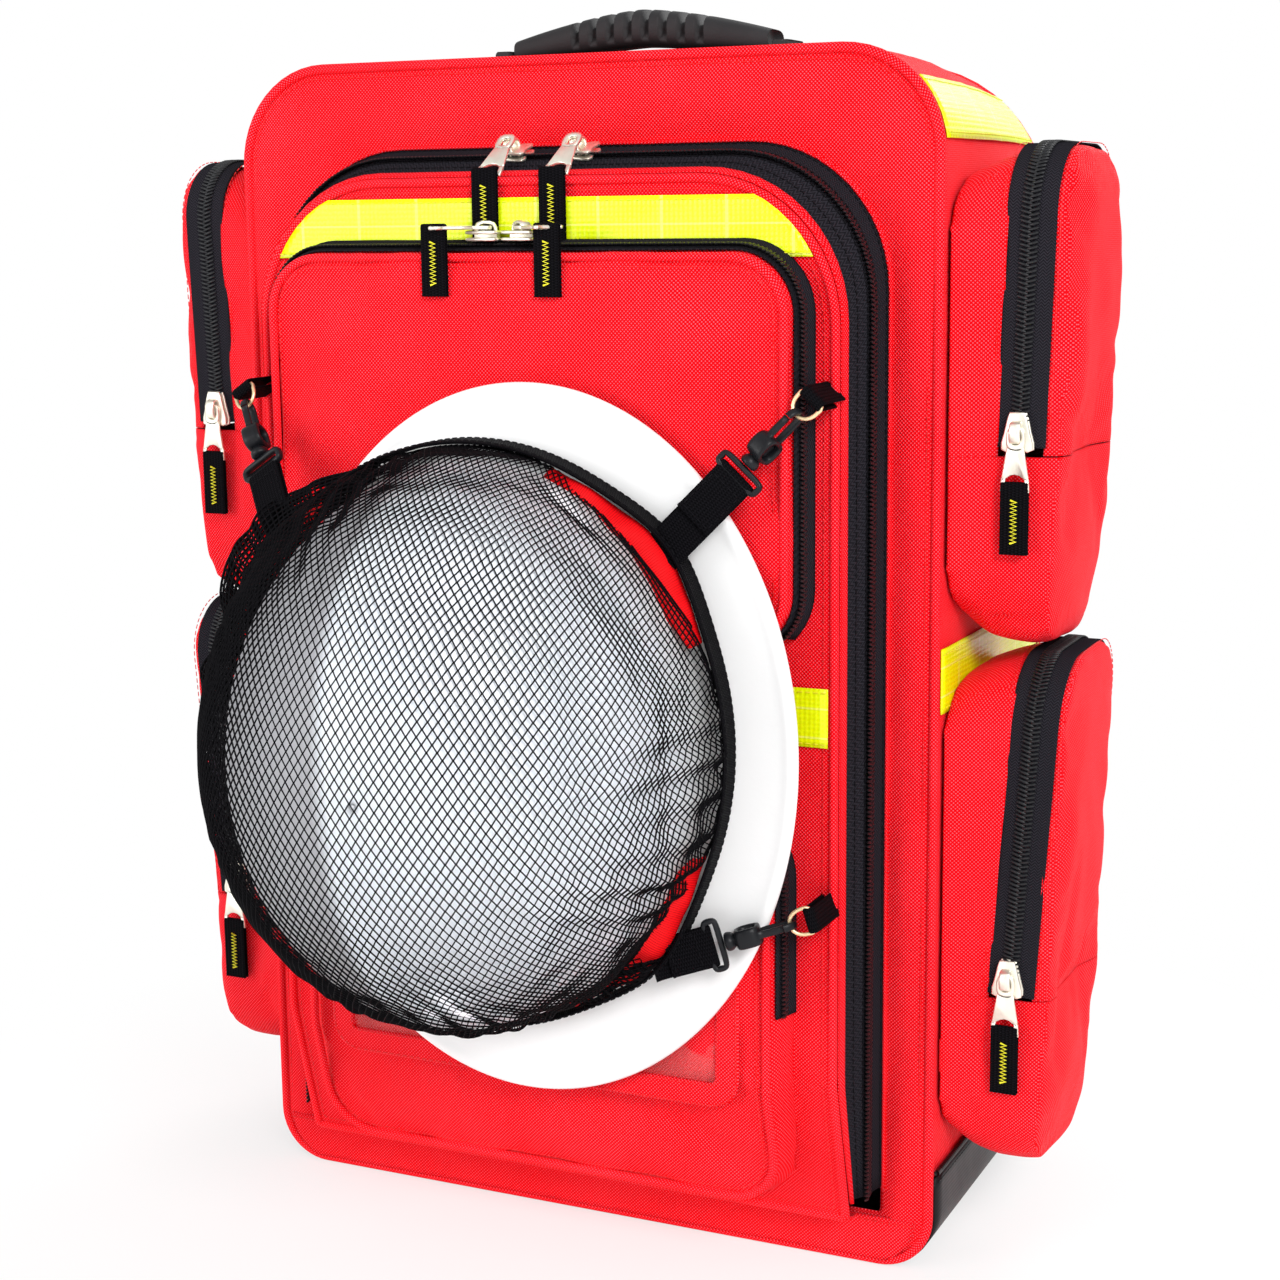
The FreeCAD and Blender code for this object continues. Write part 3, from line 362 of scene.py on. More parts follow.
def webbing():
    """Ribbed nylon webbing with a selvedge along each edge."""
    finish = Finish("webbing", Specular_IOR_Level=0.02)
    across, along = finish.run_uv()
    column = (across / (1.6 * MM)).floor()
    rib = wave(along + column * 0.55 * MM, 1.1 * MM)
    cord = wave(across, 1.6 * MM)
    height = rib * 0.6 + cord * 0.4
    tone = finish.mix(height * 0.5 + 0.5, shade(colours().black, 0.5), shade(colours().black, 2.2))
    return finish.feed(Base_Color=tone, Roughness=0.62 - height * 0.1, Normal=finish.bump(height, 0.25 * MM))


def reflective_band():
    """Prismatic tape: small diamonds, with embossed bars across it."""
    finish = Finish("reflective_band", Specular_IOR_Level=0.3, Coat_Roughness=0.2)
    x, y, z = finish.parts(finish.node("ShaderNodeTexCoord", {}, {}, "Object"))
    u = x + y
    facets = wave(u + z, 4.2 * MM) * wave(u - z, 4.2 * MM)
    bar = ((u % (29 * MM)) > 27.6 * MM)
    line = ((z % (12.4 * MM)) > 11.6 * MM)
    seam = (bar + line).clamp()
    cloud = finish.grain(30, 3)
    lime = colours().lime
    tone = finish.mix((facets * 0.14 + 0.5 + (cloud - 0.5)).clamp(), shade(lime, 0.86), lime)
    tone = finish.mix(seam * 0.5, tone, (0.93, 1.0, 0.25))
    height = facets * 0.25 + cloud + seam * 1.5
    return finish.feed(Base_Color=tone, Roughness=0.3 + facets * 0.08, Coat_Weight=0.16 - seam * 0.1,
                       Normal=finish.bump(height, 0.35 * MM))


def tarpaulin():
    finish = Finish("tarpaulin", Specular_IOR_Level=0.18)
    u, v = finish.flat_uv()
    scrim = wave(u, 1.8 * MM) * 0.5 + wave(v, 1.8 * MM) * 0.5
    dents = finish.grain(18, 3)
    tone = finish.mix(dents, shade(colours().black, 0.8), shade(colours().black, 2.0))
    normal = finish.bump(scrim * 0.05 + dents, 1.6 * MM, 0.7)
    return finish.feed(Base_Color=tone, Roughness=0.26 + dents * 0.22, Normal=normal)


def ribbed_rubber():
    finish = Finish("ribbed_rubber", Specular_IOR_Level=0.2)
    pores = finish.grain(1500, 2)
    dust = finish.grain(40, 4)
    tone = finish.mix(dust, (0.011, 0.011, 0.012), (0.034, 0.034, 0.036))
    return finish.feed(Base_Color=tone, Roughness=0.5 + dust * 0.2, Normal=finish.bump(pores, 0.12 * MM))


def black_plastic():
    finish = Finish("black_plastic", Specular_IOR_Level=0.22)
    pores = finish.grain(2200, 2)
    dust = finish.grain(90, 3)
    tone = finish.mix(dust, (0.003, 0.003, 0.004), (0.010, 0.011, 0.014))
    return finish.feed(Base_Color=tone, Roughness=0.3 + dust * 0.16, Normal=finish.bump(pores, 0.05 * MM))


def plated(name, base):
    """Plated die-cast metal with fine scratches."""
    finish = Finish(name, Metallic=0.88)
    cloud = finish.grain(160, 3)
    pits = finish.grain(1300, 3, 0.7)
    tone = finish.mix(cloud, shade(base, 0.78), shade(base, 1.1))
    return finish.feed(Base_Color=tone, Roughness=0.3 + cloud * 0.18, Normal=finish.bump(pits, 0.05 * MM))


def nickel():
    return plated("nickel", colours().nickel)


def ring_metal():
    return plated("ring_metal", colours().gold)


def clear_film():
    finish = Finish("clear_film", Alpha=0.08, Specular_IOR_Level=0.3)
    cloud = finish.grain(26, 3)
    tone = finish.mix(cloud, (0.55, 0.2, 0.2), (0.8, 0.45, 0.45))
    return finish.feed(Base_Color=tone, Roughness=0.22 + cloud * 0.14, Normal=finish.bump(cloud, 1.4 * MM))


def helmet_shell():
    finish = Finish("helmet_shell", Specular_IOR_Level=0.4)
    peel = finish.grain(420, 2)
    scuff = finish.grain(14, 4)
    x, y, z = finish.parts(finish.node("ShaderNodeTexCoord", {}, {}, "Object"))
    domed = ((BRIM_PLANE - 12 * MM - y) * (1 / (30 * MM))).clamp()
    tone = finish.mix(scuff, shade(colours().white, 0.96), colours().white)
    # Painted shade: left of a soft, nearly upright edge the dome is painted grey, as if in shadow.
    left = ((x + (z - DOME_CENTRE.z) * 0.05 - HELMET_SHADE_EDGE) * (-1 / SHADE_EDGE_SOFT) + 0.5).clamp()
    # Painted light: the dome is painted a brighter, bluish white than the brim's white.
    dome = finish.mix(scuff, (0.88, 0.92, 1.0), (0.92, 0.96, 1.0))
    tone = finish.mix(domed, tone, finish.mix(left, dome, (0.47, 0.47, 0.50)))
    return finish.feed(Base_Color=tone, Roughness=0.3 + scuff * 0.14, Normal=finish.bump(peel, 0.04 * MM))


def net_thread():
    finish = Finish("net_thread", Specular_IOR_Level=0.04)
    twist = finish.grain(1800, 1)
    tone = finish.mix(twist, shade(colours().black, 0.6), shade(colours().black, 1.8))
    return finish.feed(Base_Color=tone, Roughness=0.5 + twist * 0.2)


def air_mesh():
    """Spacer mesh of the back pads: small round holes in staggered rows."""
    finish = Finish("air_mesh", Sheen_Weight=0.2)
    u, v = finish.flat_uv()
    holes = (wave(u, 4.4 * MM) * wave(v, 4.4 * MM)) > 0.25
    fibre = finish.grain(2400, 1)
    tone = finish.mix(holes, (0.045, 0.045, 0.05), (0.006, 0.006, 0.007))
    normal = finish.bump(fibre * 0.3 - holes, 0.6 * MM)
    return finish.feed(Base_Color=tone, Roughness=0.85 - holes * 0.05, Normal=normal)


def lining():
    grey = colours().lining
    # Dots painted lighter as highlight, ground painted darker as shade.
    return woven("lining", shade(grey, 0.7), shade(grey, 1.1), 0.7 * MM, 0.12 * MM, "flat")


def sewing_thread(name, base, gloss=0.5):
    finish = Finish(name, Specular_IOR_Level=gloss)
    twist = finish.grain(3000, 1)
    tone = finish.mix(twist, shade(base, 0.8), shade(base, 1.1))
    return finish.feed(Base_Color=tone, Roughness=0.5 + twist * 0.15)


def red_thread():
    return sewing_thread("red_thread", shade(colours().red, 0.8))


def black_thread():
    return sewing_thread("black_thread", shade(colours().black, 2.2), 0.05)


def yellow_thread():
    return sewing_thread("yellow_thread", colours().stitch)


def finish_of(maker):
    """The material that this function makes, made once."""
    return bpy.data.materials.get("finish_" + maker.__name__) or maker()


SLOTS = {
    "red_fabric": (red_cloth, red_piping, red_ribbon, red_thread), "zip_tape": (zip_tape, zip_coil),
    "black_webbing": (webbing, black_thread), "yellow_tape": (reflective_band, yellow_thread),
    "black_tarpaulin": (tarpaulin,), "black_rubber": (ribbed_rubber,), "black_plastic": (black_plastic,),
    "nickel": (nickel, ring_metal), "clear_vinyl": (clear_film,), "helmet_white": (helmet_shell,),
    "net_mesh": (net_thread,), "black_padding": (air_mesh,), "grey_lining": (lining,),
}


# ---- Meshes ------------------------------------------------------------------------------------------
class Shape:
    """Points, faces and strip coordinates of one piece."""

    def __init__(self):
        self.points = []
        self.faces = []
        self.runs = []

    def rows(self, rows, around=False, close=False):
        """Quads between rows of points; around joins each row's ends, close joins the last row on."""
        start = len(self.points)
        count = len(rows[0])
        for row in rows:
            self.points.extend(row)
        across = [0.0]
        for a, b in zip(rows[0], rows[0][1:] + rows[0][:1]):
            across.append(across[-1] + (b - a).length)
        along = [0.0]
        for first, second in zip(rows, rows[1:] + rows[:1]):
            along.append(along[-1] + (second[0] - first[0]).length)
        for i in range(len(rows) if close else len(rows) - 1):
            k = (i + 1) % len(rows)
            for j in range(count if around else count - 1):
                m = (j + 1) % count
                self.faces.append((start + i * count + j, start + i * count + m,
                                   start + k * count + m, start + k * count + j))
                self.runs.append(((across[j], along[i]), (across[j + 1], along[i]),
                                  (across[j + 1], along[i + 1]), (across[j], along[i + 1])))
        return start

    def cap(self, first, count, flip=False):
        """Closes a row of points with one face."""
        face = tuple(range(first, first + count))
        self.faces.append(face[::-1] if flip else face)
        self.runs.append(((0.0, 0.0),) * count)

    def tube(self, rows, turned=False):
        """Quads round rows of points, with a face on each end."""
        start = self.rows(rows, around=True)
        count = len(rows[0])
        self.cap(start, count, turned)
        self.cap(start + (len(rows) - 1) * count, count, not turned)
        return self

    def dome(self, rows, flip=False):
        """Quads round rows of points, with a face on the last row."""
        start = self.rows(rows, around=True)
        self.cap(start + (len(rows) - 1) * len(rows[0]), len(rows[0]), flip)
        return self

    def inside_out(self):
        """Turns every face round."""
        self.faces = [face[::-1] for face in self.faces]
        self.runs = [run[::-1] for run in self.runs]
        return self

    def stamp(self, other, matrix=Matrix.Identity(4)):
        """Adds a moved copy of another shape."""
        start = len(self.points)
        self.points.extend(matrix @ p for p in other.points)
        self.faces.extend(tuple(start + i for i in face) for face in other.faces)
        self.runs.extend(other.runs)
        return self

    def mirrored(self):
        """The same shape on the other side of the pack."""
        copy = Shape()
        copy.points = [Vector((-p.x, p.y, p.z)) for p in self.points]
        copy.faces, copy.runs = self.faces, self.runs
        return copy.inside_out()


def sheet(rows, **options):
    """A shape made of one grid of points."""
    shape = Shape()
    shape.rows(rows, **options)
    return shape


def grid(lines, spots, place):
    """Rows of points; place gives the one on this line, at this spot of it."""
    return [[place(i, k) for k in range(spots + 1)] for i in range(lines + 1)]


def ahead_at(path, i):
    """Direction of travel at a point of an open path."""
    return (path[min(i + 1, len(path) - 1)] - path[max(i - 1, 0)]).normalized()


def path_ups(path, axis):
    """Directions square to an open path and to an axis."""
    return [ahead_at(path, i).cross(axis).normalized() for i in range(len(path))]


def into_scene(name, data):
    """A new object of the scene that holds this data."""
    made = bpy.data.objects.new(name, data)
    bpy.context.scene.collection.objects.link(made)
    return made


def bare_object(name, shape):
    """An object made from a shape's points and faces, without a finish or a body."""
    mesh = bpy.data.meshes.new(name)
    mesh.from_pydata([tuple(p) for p in shape.points], [], shape.faces)
    return into_scene(name, mesh)


def add_piece(name, shape, body, maker, replaces=(), slot=None):
    """Makes a shape into an object of the scene that rides on a body."""
    piece = bare_object(name, shape)
    layer = piece.data.uv_layers.new(name="run")
    layer.data.foreach_set("uv", [c for run in shape.runs for uv in run for c in uv])
    piece.data.validate()
    piece.data.shade_smooth()
    return settle(piece, body, maker, replaces, slot)


def settle(piece, body, maker, replaces=(), slot=None):
    """Gives a piece its finish, its body and the nodes that it stands for."""
    if not piece.data.materials:
        piece.data.materials.append(finish_of(maker))
    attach(piece, body)
    slot or next(name for name, makers in SLOTS.items() if maker in makers)
    if replaces:
        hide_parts(*replaces)
    return piece


def thicken(piece, thickness, lining_maker=None, offset=-1.0):
    """Gives a sheet a thickness below its surface, with its own lining if one is named."""
    solid = piece.modifiers.new("thickness", "SOLIDIFY")
    solid.thickness = thickness
    solid.offset = offset
    if lining_maker:
        piece.data.materials.append(finish_of(lining_maker))
        solid.material_offset = 1
    return piece


def round_off(piece, levels=1):
    smooth = piece.modifiers.new("rounding", "SUBSURF")
    smooth.levels = levels
    smooth.render_levels = levels
    return piece


def threads(piece, share=1.0):
    """Turns a mesh's edges into threads of the net, at a share of their thickness."""
    wire = piece.modifiers.new("threads", "WIREFRAME")
    wire.thickness = sizes().mesh_thread * share
    wire.use_even_offset = False
    return wire


def circle(radius, count=10):
    """Round section as (side, up) pairs."""
    return [(radius * math.cos(2 * math.pi * i / count), radius * math.sin(2 * math.pi * i / count))
            for i in range(count)]


def full_circle(count, side_power, up_power=None):
    """Unit circle drawn out towards its corners, as (side, up) pairs; a power of 1 leaves it round."""
    return [(math.copysign(abs(s) ** side_power, s), math.copysign(abs(t) ** (up_power or side_power), t))
            for s, t in circle(1.0, count)]


def bar_section(half_side, half_up, flat_side=0.6, flat_up=0.6):
    """Section of a bar with its corners cut off; the flats are shares of its half sizes."""
    corners = ((-1, -flat_up), (-flat_side, -1), (flat_side, -1), (1, -flat_up))
    return [(s * half_side, t * half_up) for s, t in corners + tuple((-s, -t) for s, t in corners)]


def flat_section(width, thickness, count=8):
    """Section of a strap: flat with half-round edges."""
    half = width / 2 - thickness / 2
    r = thickness / 2
    points = [(-half + 2 * half * i / count, r) for i in range(count + 1)]
    points.append((half + r, 0.0))
    points += [(half - 2 * half * i / count, -r) for i in range(count + 1)]
    points.append((-half - r, 0.0))
    return points


def sweep(shape, path, ups, section, closed=False, ends=True):
    """Carries a section along a path; ups gives the strip's face direction at each point."""
    rows = []
    count = len(path)
    for i, point in enumerate(path):
        before = path[i - 1] if closed or i else path[0]
        after = path[(i + 1) % count] if closed or i < count - 1 else path[-1]
        ahead = (after - before).normalized()
        up = ups[i] if isinstance(ups, list) else ups
        side = ahead.cross(up).normalized()
        up = side.cross(ahead)
        rows.append([point + side * s + up * t for s, t in section])
    start = shape.rows(rows, around=True, close=closed)
    if ends and not closed:
        shape.cap(start, len(section))
        shape.cap(start + (count - 1) * len(section), len(section), flip=True)
    return shape


def spaced(path, step, closed=False):
    """Points at equal steps along a path, with the direction of travel at each."""
    points = path + path[:1] if closed else path
    lengths = [(b - a).length for a, b in zip(points, points[1:])]
    total = sum(lengths)
    count = max(1, int(total / step))
    step = total / count
    result = []
    i = 0
    passed = 0.0
    for k in range(count):
        at = (k + 0.5) * step
        while passed + lengths[i] < at:
            passed += lengths[i]
            i += 1
        t = (at - passed) / lengths[i]
        result.append((points[i].lerp(points[i + 1], t), (points[i + 1] - points[i]).normalized(), i, t))
    return result


def between(values, i, t):
    if not isinstance(values, list):
        return values
    return values[i].lerp(values[(i + 1) % len(values)], t).normalized()


def axes(ahead, side, point):
    """Matrix of a place from its X and Y axes."""
    return Matrix.Translation(point) @ Matrix((ahead, side, ahead.cross(side))).transposed().to_4x4()


def facing(point, ahead, up):
    """Matrix of a place whose X runs ahead and whose Z faces up."""
    side = up.cross(ahead).normalized()
    return axes(ahead, side, point)


def bead(length, radius, sides=6):
    """Short round-ended rod along X."""
    return Shape().tube([[Vector((x * length, s, t)) for s, t in circle(radius * r, sides)]
                         for x, r in ((-0.5, 0.3), (-0.38, 0.9), (0.0, 1.0), (0.38, 0.9), (0.5, 0.3))])


def stitch_line(shape, path, ups, closed=False):
    """Row of stitches lying on a surface."""
    step = sizes().stitch
    thread = bead(step * 0.72, sizes().thread / 2)
    for point, ahead, i, t in spaced(path, step, closed):
        shape.stamp(thread, facing(point, ahead, between(ups, i, t)))
    return shape


def zip_row(shape, path, ups, hand):
    """One half of a closed zip coil, whose turns lie across the path."""
    pitch = sizes().tooth
    width = sizes().chain
    turn = bead(width * 0.6, pitch * 0.36)
    shift = Matrix.Translation((pitch / 4 * hand, hand * width * 0.2, 0))
    lean = Matrix.Rotation(math.radians(90 - 16 * hand), 4, "Z")
    for point, ahead, i, t in spaced(path, pitch):
        shape.stamp(turn, facing(point, ahead, between(ups, i, t)) @ shift @ lean)
    return shape


def outline(half, low, high, r_low, r_high, centre=0.0):
    """Closed round-cornered outline as (across, up) pairs, from the middle of the foot round to the right."""
    flat, bend, tall = 20, 12, 48
    points = []

    def line(a, b, count):
        points.extend((a[0] + (b[0] - a[0]) * i / count, a[1] + (b[1] - a[1]) * i / count)
                      for i in range(count))

    def corner(x, z, r, start):
        for i in range(bend):
            a = math.radians(start + 90 * i / bend)
            points.append((x + r * math.cos(a), z + r * math.sin(a)))

    line((0, low), (half - r_low, low), flat)
    corner(half - r_low, low + r_low, r_low, -90)
    line((half, low + r_low), (half, high - r_high), tall)
    corner(half - r_high, high - r_high, r_high, 0)
    line((half - r_high, high), (r_high - half, high), 2 * flat)
    corner(r_high - half, high - r_high, r_high, 90)
    line((-half, high - r_high), (-half, low + r_low), tall)
    corner(r_low - half, low + r_low, r_low, 180)
    line((r_low - half, low), (0, low), flat)
    return [(centre + x, z) for x, z in points]


def wrinkle(point, size, depth):
    """Gentle folds of the cloth, as a distance."""
    return (noise.noise(point / size) + 0.5 * noise.noise(point / size * 2.3)) * depth


def swell(piece, held, pressure, slack, limit):
    """Blows a closed cloth piece up a little, keeping the points that held(point) names, and applies it."""
    mesh = piece.data
    pins = [v.index for v in mesh.vertices if held(v.co)]
    piece.vertex_groups.new(name="held").add(pins, 1.0, "REPLACE")
    cloth = piece.modifiers.new("cloth", "CLOTH")
    cloth.settings.vertex_group_mass = "held"
    cloth.settings.quality = 5
    cloth.settings.mass = 0.4
    cloth.settings.tension_stiffness = 25
    cloth.settings.compression_stiffness = 25
    cloth.settings.shear_stiffness = 8
    cloth.settings.bending_stiffness = 0.4
    cloth.settings.use_pressure = True
    cloth.settings.uniform_pressure_force = pressure
    cloth.settings.shrink_min = -slack
    cloth.settings.effector_weights.gravity = 0
    cloth.point_cache.frame_end = CLOTH_FRAMES
    scene = bpy.context.scene
    for step in range(1, CLOTH_FRAMES + 1):
        scene.frame_set(step)
    swollen = piece.evaluated_get(bpy.context.evaluated_depsgraph_get()).to_mesh()
    for vertex, moved in zip(mesh.vertices, swollen.vertices):
        shift = moved.co - vertex.co
        if shift.length > limit:
            shift *= limit / shift.length
        vertex.co += shift
    piece.to_mesh_clear()
    piece.modifiers.remove(cloth)
    scene.frame_set(1)
    mesh.update()
    return piece


def apply_modifiers(piece):
    """Turns a piece's modifiers into its mesh."""
    made = bpy.data.meshes.new_from_object(piece.evaluated_get(bpy.context.evaluated_depsgraph_get()))
    piece.modifiers.clear()
    piece.data = made
    return piece


def cloth_block(name, shape, voxel):
    """A closed shape as an even mesh of cloth cells."""
    block = bare_object(name, shape)
    block.data.validate()
    remesh = block.modifiers.new("cells", "REMESH")
    remesh.mode = "VOXEL"
    remesh.voxel_size = voxel
    apply_modifiers(block)
    block.data.shade_smooth()
    return block


def cut_copy(name, piece, planes, keep=None):
    """Copy of a piece cut along planes given as (point, normal); what lies beyond each normal goes."""
    mesh = piece.data.copy()
    form = bmesh.new()
    form.from_mesh(mesh)
    for point, normal in planes:
        everything = form.verts[:] + form.edges[:] + form.faces[:]
        bmesh.ops.bisect_plane(form, geom=everything, plane_co=point, plane_no=normal, clear_outer=True)
    if keep:
        gone = [f for f in form.faces if not keep(f.calc_center_median())]
        bmesh.ops.delete(form, geom=gone, context="FACES")
    form.to_mesh(mesh)
    form.free()
    mesh.name = name
    mesh.shade_smooth()
    return into_scene(name, mesh)


def front_points(pairs, y):
    """Outline pairs as points on the plane at this depth."""
    return [Vector((x, y, z)) for x, z in pairs]


def outward(pairs):
    """Directions away from an outline's middle line, for the face of what lies round its edge."""
    ends = zip(pairs[-1:] + pairs[:-1], pairs[1:] + pairs[:1])
    return [Vector((b[1] - a[1], 0, a[0] - b[0])).normalized() for a, b in ends]


def above(pairs, height):
    """The stretch of an outline that lies above a height."""
    inside = [i for i, pair in enumerate(pairs) if pair[1] > height]
    return pairs[inside[0]:inside[-1] + 1]


def lid_outline(depth, grow=0.0):
    """Outline of the lid's arch at a depth in front of the front panel."""
    t = depth / LID_DEPTH
    return outline(LID_HALF - LID_TAPER * t + grow, LID_BOTTOM - grow, LID_TOP - LID_DROP * t + grow,
                   2 * MM, LID_R + grow)


def leant(point):
    """A point of the lid, moved back where the foot of the lid leans towards the pack."""
    low = max(0.0, min(1.0, (FOOT_SLANT_Z - point.z) / (FOOT_SLANT_Z - LID_BOTTOM)))
    share = max(0.0, min(1.0, (FRONT - ZIP_DEPTH - point.y) / (LID_DEPTH - ZIP_DEPTH)))
    return point + Y * FOOT_SLANT * low * share


def lid_points(pairs, y):
    """Outline pairs as points of the lid at this depth."""
    return [leant(point) for point in front_points(pairs, y)]


def pocket_outline(pocket, depth, grow=0.0):
    """Outline of a front pocket at a depth in front of the lid."""
    inset = POCKET_TAPER * depth / (LID_FACE - POCKET_FACE) - grow
    r = POCKET_R - inset
    return outline(pocket["half"] - inset, pocket["low"] + inset, pocket["high"] - inset, r, r)


def side_outline(pocket, inset=0.0):
    """Outline of a side pocket as (y, z) pairs."""
    r = SIDE_R - inset
    middle = sum(SIDE_Y) / 2
    half = (SIDE_Y[1] - SIDE_Y[0]) / 2 - inset
    return outline(half, pocket["low"] + inset, pocket["high"] - inset, r, r, middle)


# ---- Shell -----------------------------------------------------------------------------------------
def top_radius(y):
    """Radius of the upper corners, which grow rounder towards the back."""
    return TOP_R[0] + (TOP_R[1] - TOP_R[0]) * (y - FRONT) / (BACK - FRONT)


def shell_outline(y, inset=0.0):
    return outline(SIDE - inset, FLOOR + inset, TOP - inset, CORNER_R - inset, top_radius(y) - inset)


def front_panel():
    """Cloth between the front seam and the lid's zip."""
    outer = shell_outline(FRONT, 1 * MM)
    inner = outline(LID_HALF - 1 * MM, LID_SILL, LID_TOP - 1 * MM, 2 * MM, LID_R)
    steps = 12
    rows = []
    for k in range(steps + 1):
        t = k / steps
        bow = math.sin(math.pi * t)
        row = []
        for a, b in zip(outer, inner):
            x, z = (a[0] + (b[0] - a[0]) * t, a[1] + (b[1] - a[1]) * t)
            row.append(Vector((x, FRONT - (2.6 * MM + wrinkle(Vector((x, 0, z)), 0.07, 1.8 * MM)) * bow, z)))
        rows.append(row)
    panel = add_piece("front_panel", sheet(rows, around=True), "pack", red_cloth, ["front_border"])
    thicken(panel, 2 * MM, lining)


def foot_strip():
    """Strip of cloth along the foot, and the soft fold that joins its top to the lid."""
    foot = FLOOR + 2 * MM
    top = LID_SILL - 1 * MM

    def place(i, k):
        z = foot + (top - foot) * i / 8
        drop = CORNER_R - (z - FLOOR)
        half = SIDE - 6 * MM - (CORNER_R - math.sqrt(CORNER_R ** 2 - drop ** 2) if drop > 0 else 0)
        fold = wrinkle(Vector((k, i, 7)), 7.0, 0.5 * MM)
        return Vector((-half + 2 * half * k / 80, FRONT - 3.4 * MM - fold, z))

    rows = grid(8, 80, place)
    thicken(add_piece("foot_strip", sheet(rows), "pack", red_cloth), 1.2 * MM)
    stitches = stitch_line(Shape(), [p - UP * 2.2 * MM + OUT * 0.4 * MM for p in rows[-1]], OUT)
    add_piece("foot_strip_stitches", stitches, "pack", red_thread)
    half = LID_HALF - LID_TAPER - 2 * MM
    start = Vector((0, FRONT - 2.5 * MM, top - 1 * MM))
    stop = Vector((0, FRONT - ZIP_DEPTH - 3.5 * MM, LID_BOTTOM + 1.5 * MM))
    fold = bare_object("hinge_fold", sheet(grid(10, 60, lambda i, k: (
        start.lerp(stop, i / 10) + X * (-half + 2 * half * k / 60)
        - UP * 1.6 * MM * math.sin(math.pi * i / 10)))))
    fold.data.materials.append(finish_of(red_cloth))
    thicken(fold, 1.2 * MM, offset=0.0)
    apply_modifiers(fold)
    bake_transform(fold)


def side_gusset():
    """Cloth round the pack's sides and top, from the front seam to the back seam."""
    steps = 30
    rows = []
    for k in range(steps + 1):
        bow = math.sin(math.pi * k / steps)
        y = BACK + (FRONT - BACK) * k / steps
        edge = shell_outline(y)
        row = []
        for (x, z), out in zip(edge, outward(edge)):
            point = Vector((x, y, z))
            rise = -0.4 * MM if z < TUB_TOP else (1.2 * MM + wrinkle(point, 0.05, 0.9 * MM)) * bow
            row.append(point + out * rise)
        rows.append(row)
    nodes = ["main_gusset", "base_gusset"]
    thicken(add_piece("side_gusset", sheet(rows, around=True), "pack", red_cloth, nodes), 2.5 * MM, lining)


def seam_piping():
    """Cloth-covered cord along the front and back seams."""
    section = circle(sizes().piping / 2)
    for name, y, nodes in (("front_piping", FRONT - 0.6 * MM, ["piping"]),
                           ("back_piping", BACK + 0.6 * MM, [])):
        edge = shell_outline(y, 1.2 * MM)
        cord = sweep(Shape(), front_points(edge, y), outward(edge), section, closed=True)
        add_piece(name, cord, "pack", red_piping, nodes)
    inner = front_points(shell_outline(FRONT, 5.5 * MM), FRONT - 1.5 * MM)
    add_piece("front_seam_stitches", stitch_line(Shape(), inner, OUT, closed=True), "pack", red_thread)


def base_tub():
    """Coated tarpaulin that wraps the foot, with a turned hem."""
    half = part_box("base_tub")[1].x
    edge = outline(half - 0.3 * MM, 0.0, 2 * half, CORNER_R + FLOOR, CORNER_R)
    foot = [p for p in edge if p[1] <= TUB_TOP]
    start = max(range(len(foot)), key=lambda i: foot[i][1] if foot[i][0] < 0 else -1)
    path = foot[start:] + foot[:start]
    deep = BACK - FRONT - 2 * MM
    cover = sheet([[Vector((x, FRONT + 2 * MM + deep * k / 14, max(z, 0.0))) for x, z in path]
                   for k in range(15)])
    thicken(add_piece("base_tub_cover", cover, "pack", tarpaulin, ["base_tub"]), 1.3 * MM, offset=1.0)
    hem = Shape()
    for side in (-1, 1):
        path = [Vector((side * half, FRONT + 3 * MM + i * 5 * MM, TUB_TOP)) for i in range(31)]
        sweep(hem, path, X * side, circle(1.3 * MM, 8))
        stitch_line(hem, [p - UP * 4 * MM + X * side * 0.8 * MM for p in path], X * side)
    add_piece("base_tub_hem", hem, "pack", tarpaulin)


def back_board():
    """Padded back panel under the pads."""
    rows = []
    for inset in (2 * MM, 5 * MM, 12 * MM, 30 * MM, 60 * MM, 110 * MM, 150 * MM):
        pairs = outline(SIDE - inset, FLOOR + inset, TOP - inset,
                        max(CORNER_R - inset, 2 * MM), max(TOP_R[1] - inset, 2 * MM))
        rows.append(front_points(pairs, BACK + 2.5 * MM * min(1.0, inset / (30 * MM))))
    board = add_piece("back_board", Shape().dome(rows).inside_out(), "pack", air_mesh, ["back_panel"])
    thicken(board, 4 * MM, lining)


def beside(y, low, up, rise):
    """Point this far above the side's cloth, and this far up along it from a height."""
    r = top_radius(y)
    bend_foot = TOP - r
    start = low - bend_foot
    if start > 0:
        start = r * math.asin(start / r)
    along = start + up
    a = max(0.0, along / r)
    z = bend_foot + (along if along < 0 else (r + rise) * math.sin(a))
    return Vector((SIDE - r + (r + rise) * math.cos(a), y, z))


def side_bands():
    """Reflective bands on the pack's sides, above and between the side pockets."""
    shape, seams = Shape(), Shape()
    height = sizes().band * 1.12
    deep = BACK - FRONT - 5 * MM
    for low in (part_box("side_strips")[1].z - 26 * MM, SIDE_POCKETS["lower"]["high"] + 4.5 * MM - height):
        rows = []
        for k in range(33):
            rise = 1.0 * MM + 1.6 * MM * math.sin(math.pi * k / 32)
            rise += wrinkle(Vector((k * 5 * MM, low, 0)), 0.02, 0.4 * MM)
            y = FRONT + 2.4 * MM + deep * k / 32
            rows.append([beside(y, low, height * i / 12, rise) for i in range(13)][::-1])
        shape.rows(rows)
        for i in (1, -2):
            stitch_line(seams, [row[i] + X * 0.4 * MM for row in rows], X)
    shape.stamp(shape.mirrored())
    thicken(add_piece("side_bands", shape, "pack", reflective_band, ["side_strips"]), 0.6 * MM)
    add_piece("side_band_stitches", seams.stamp(seams.mirrored()), "pack", yellow_thread)


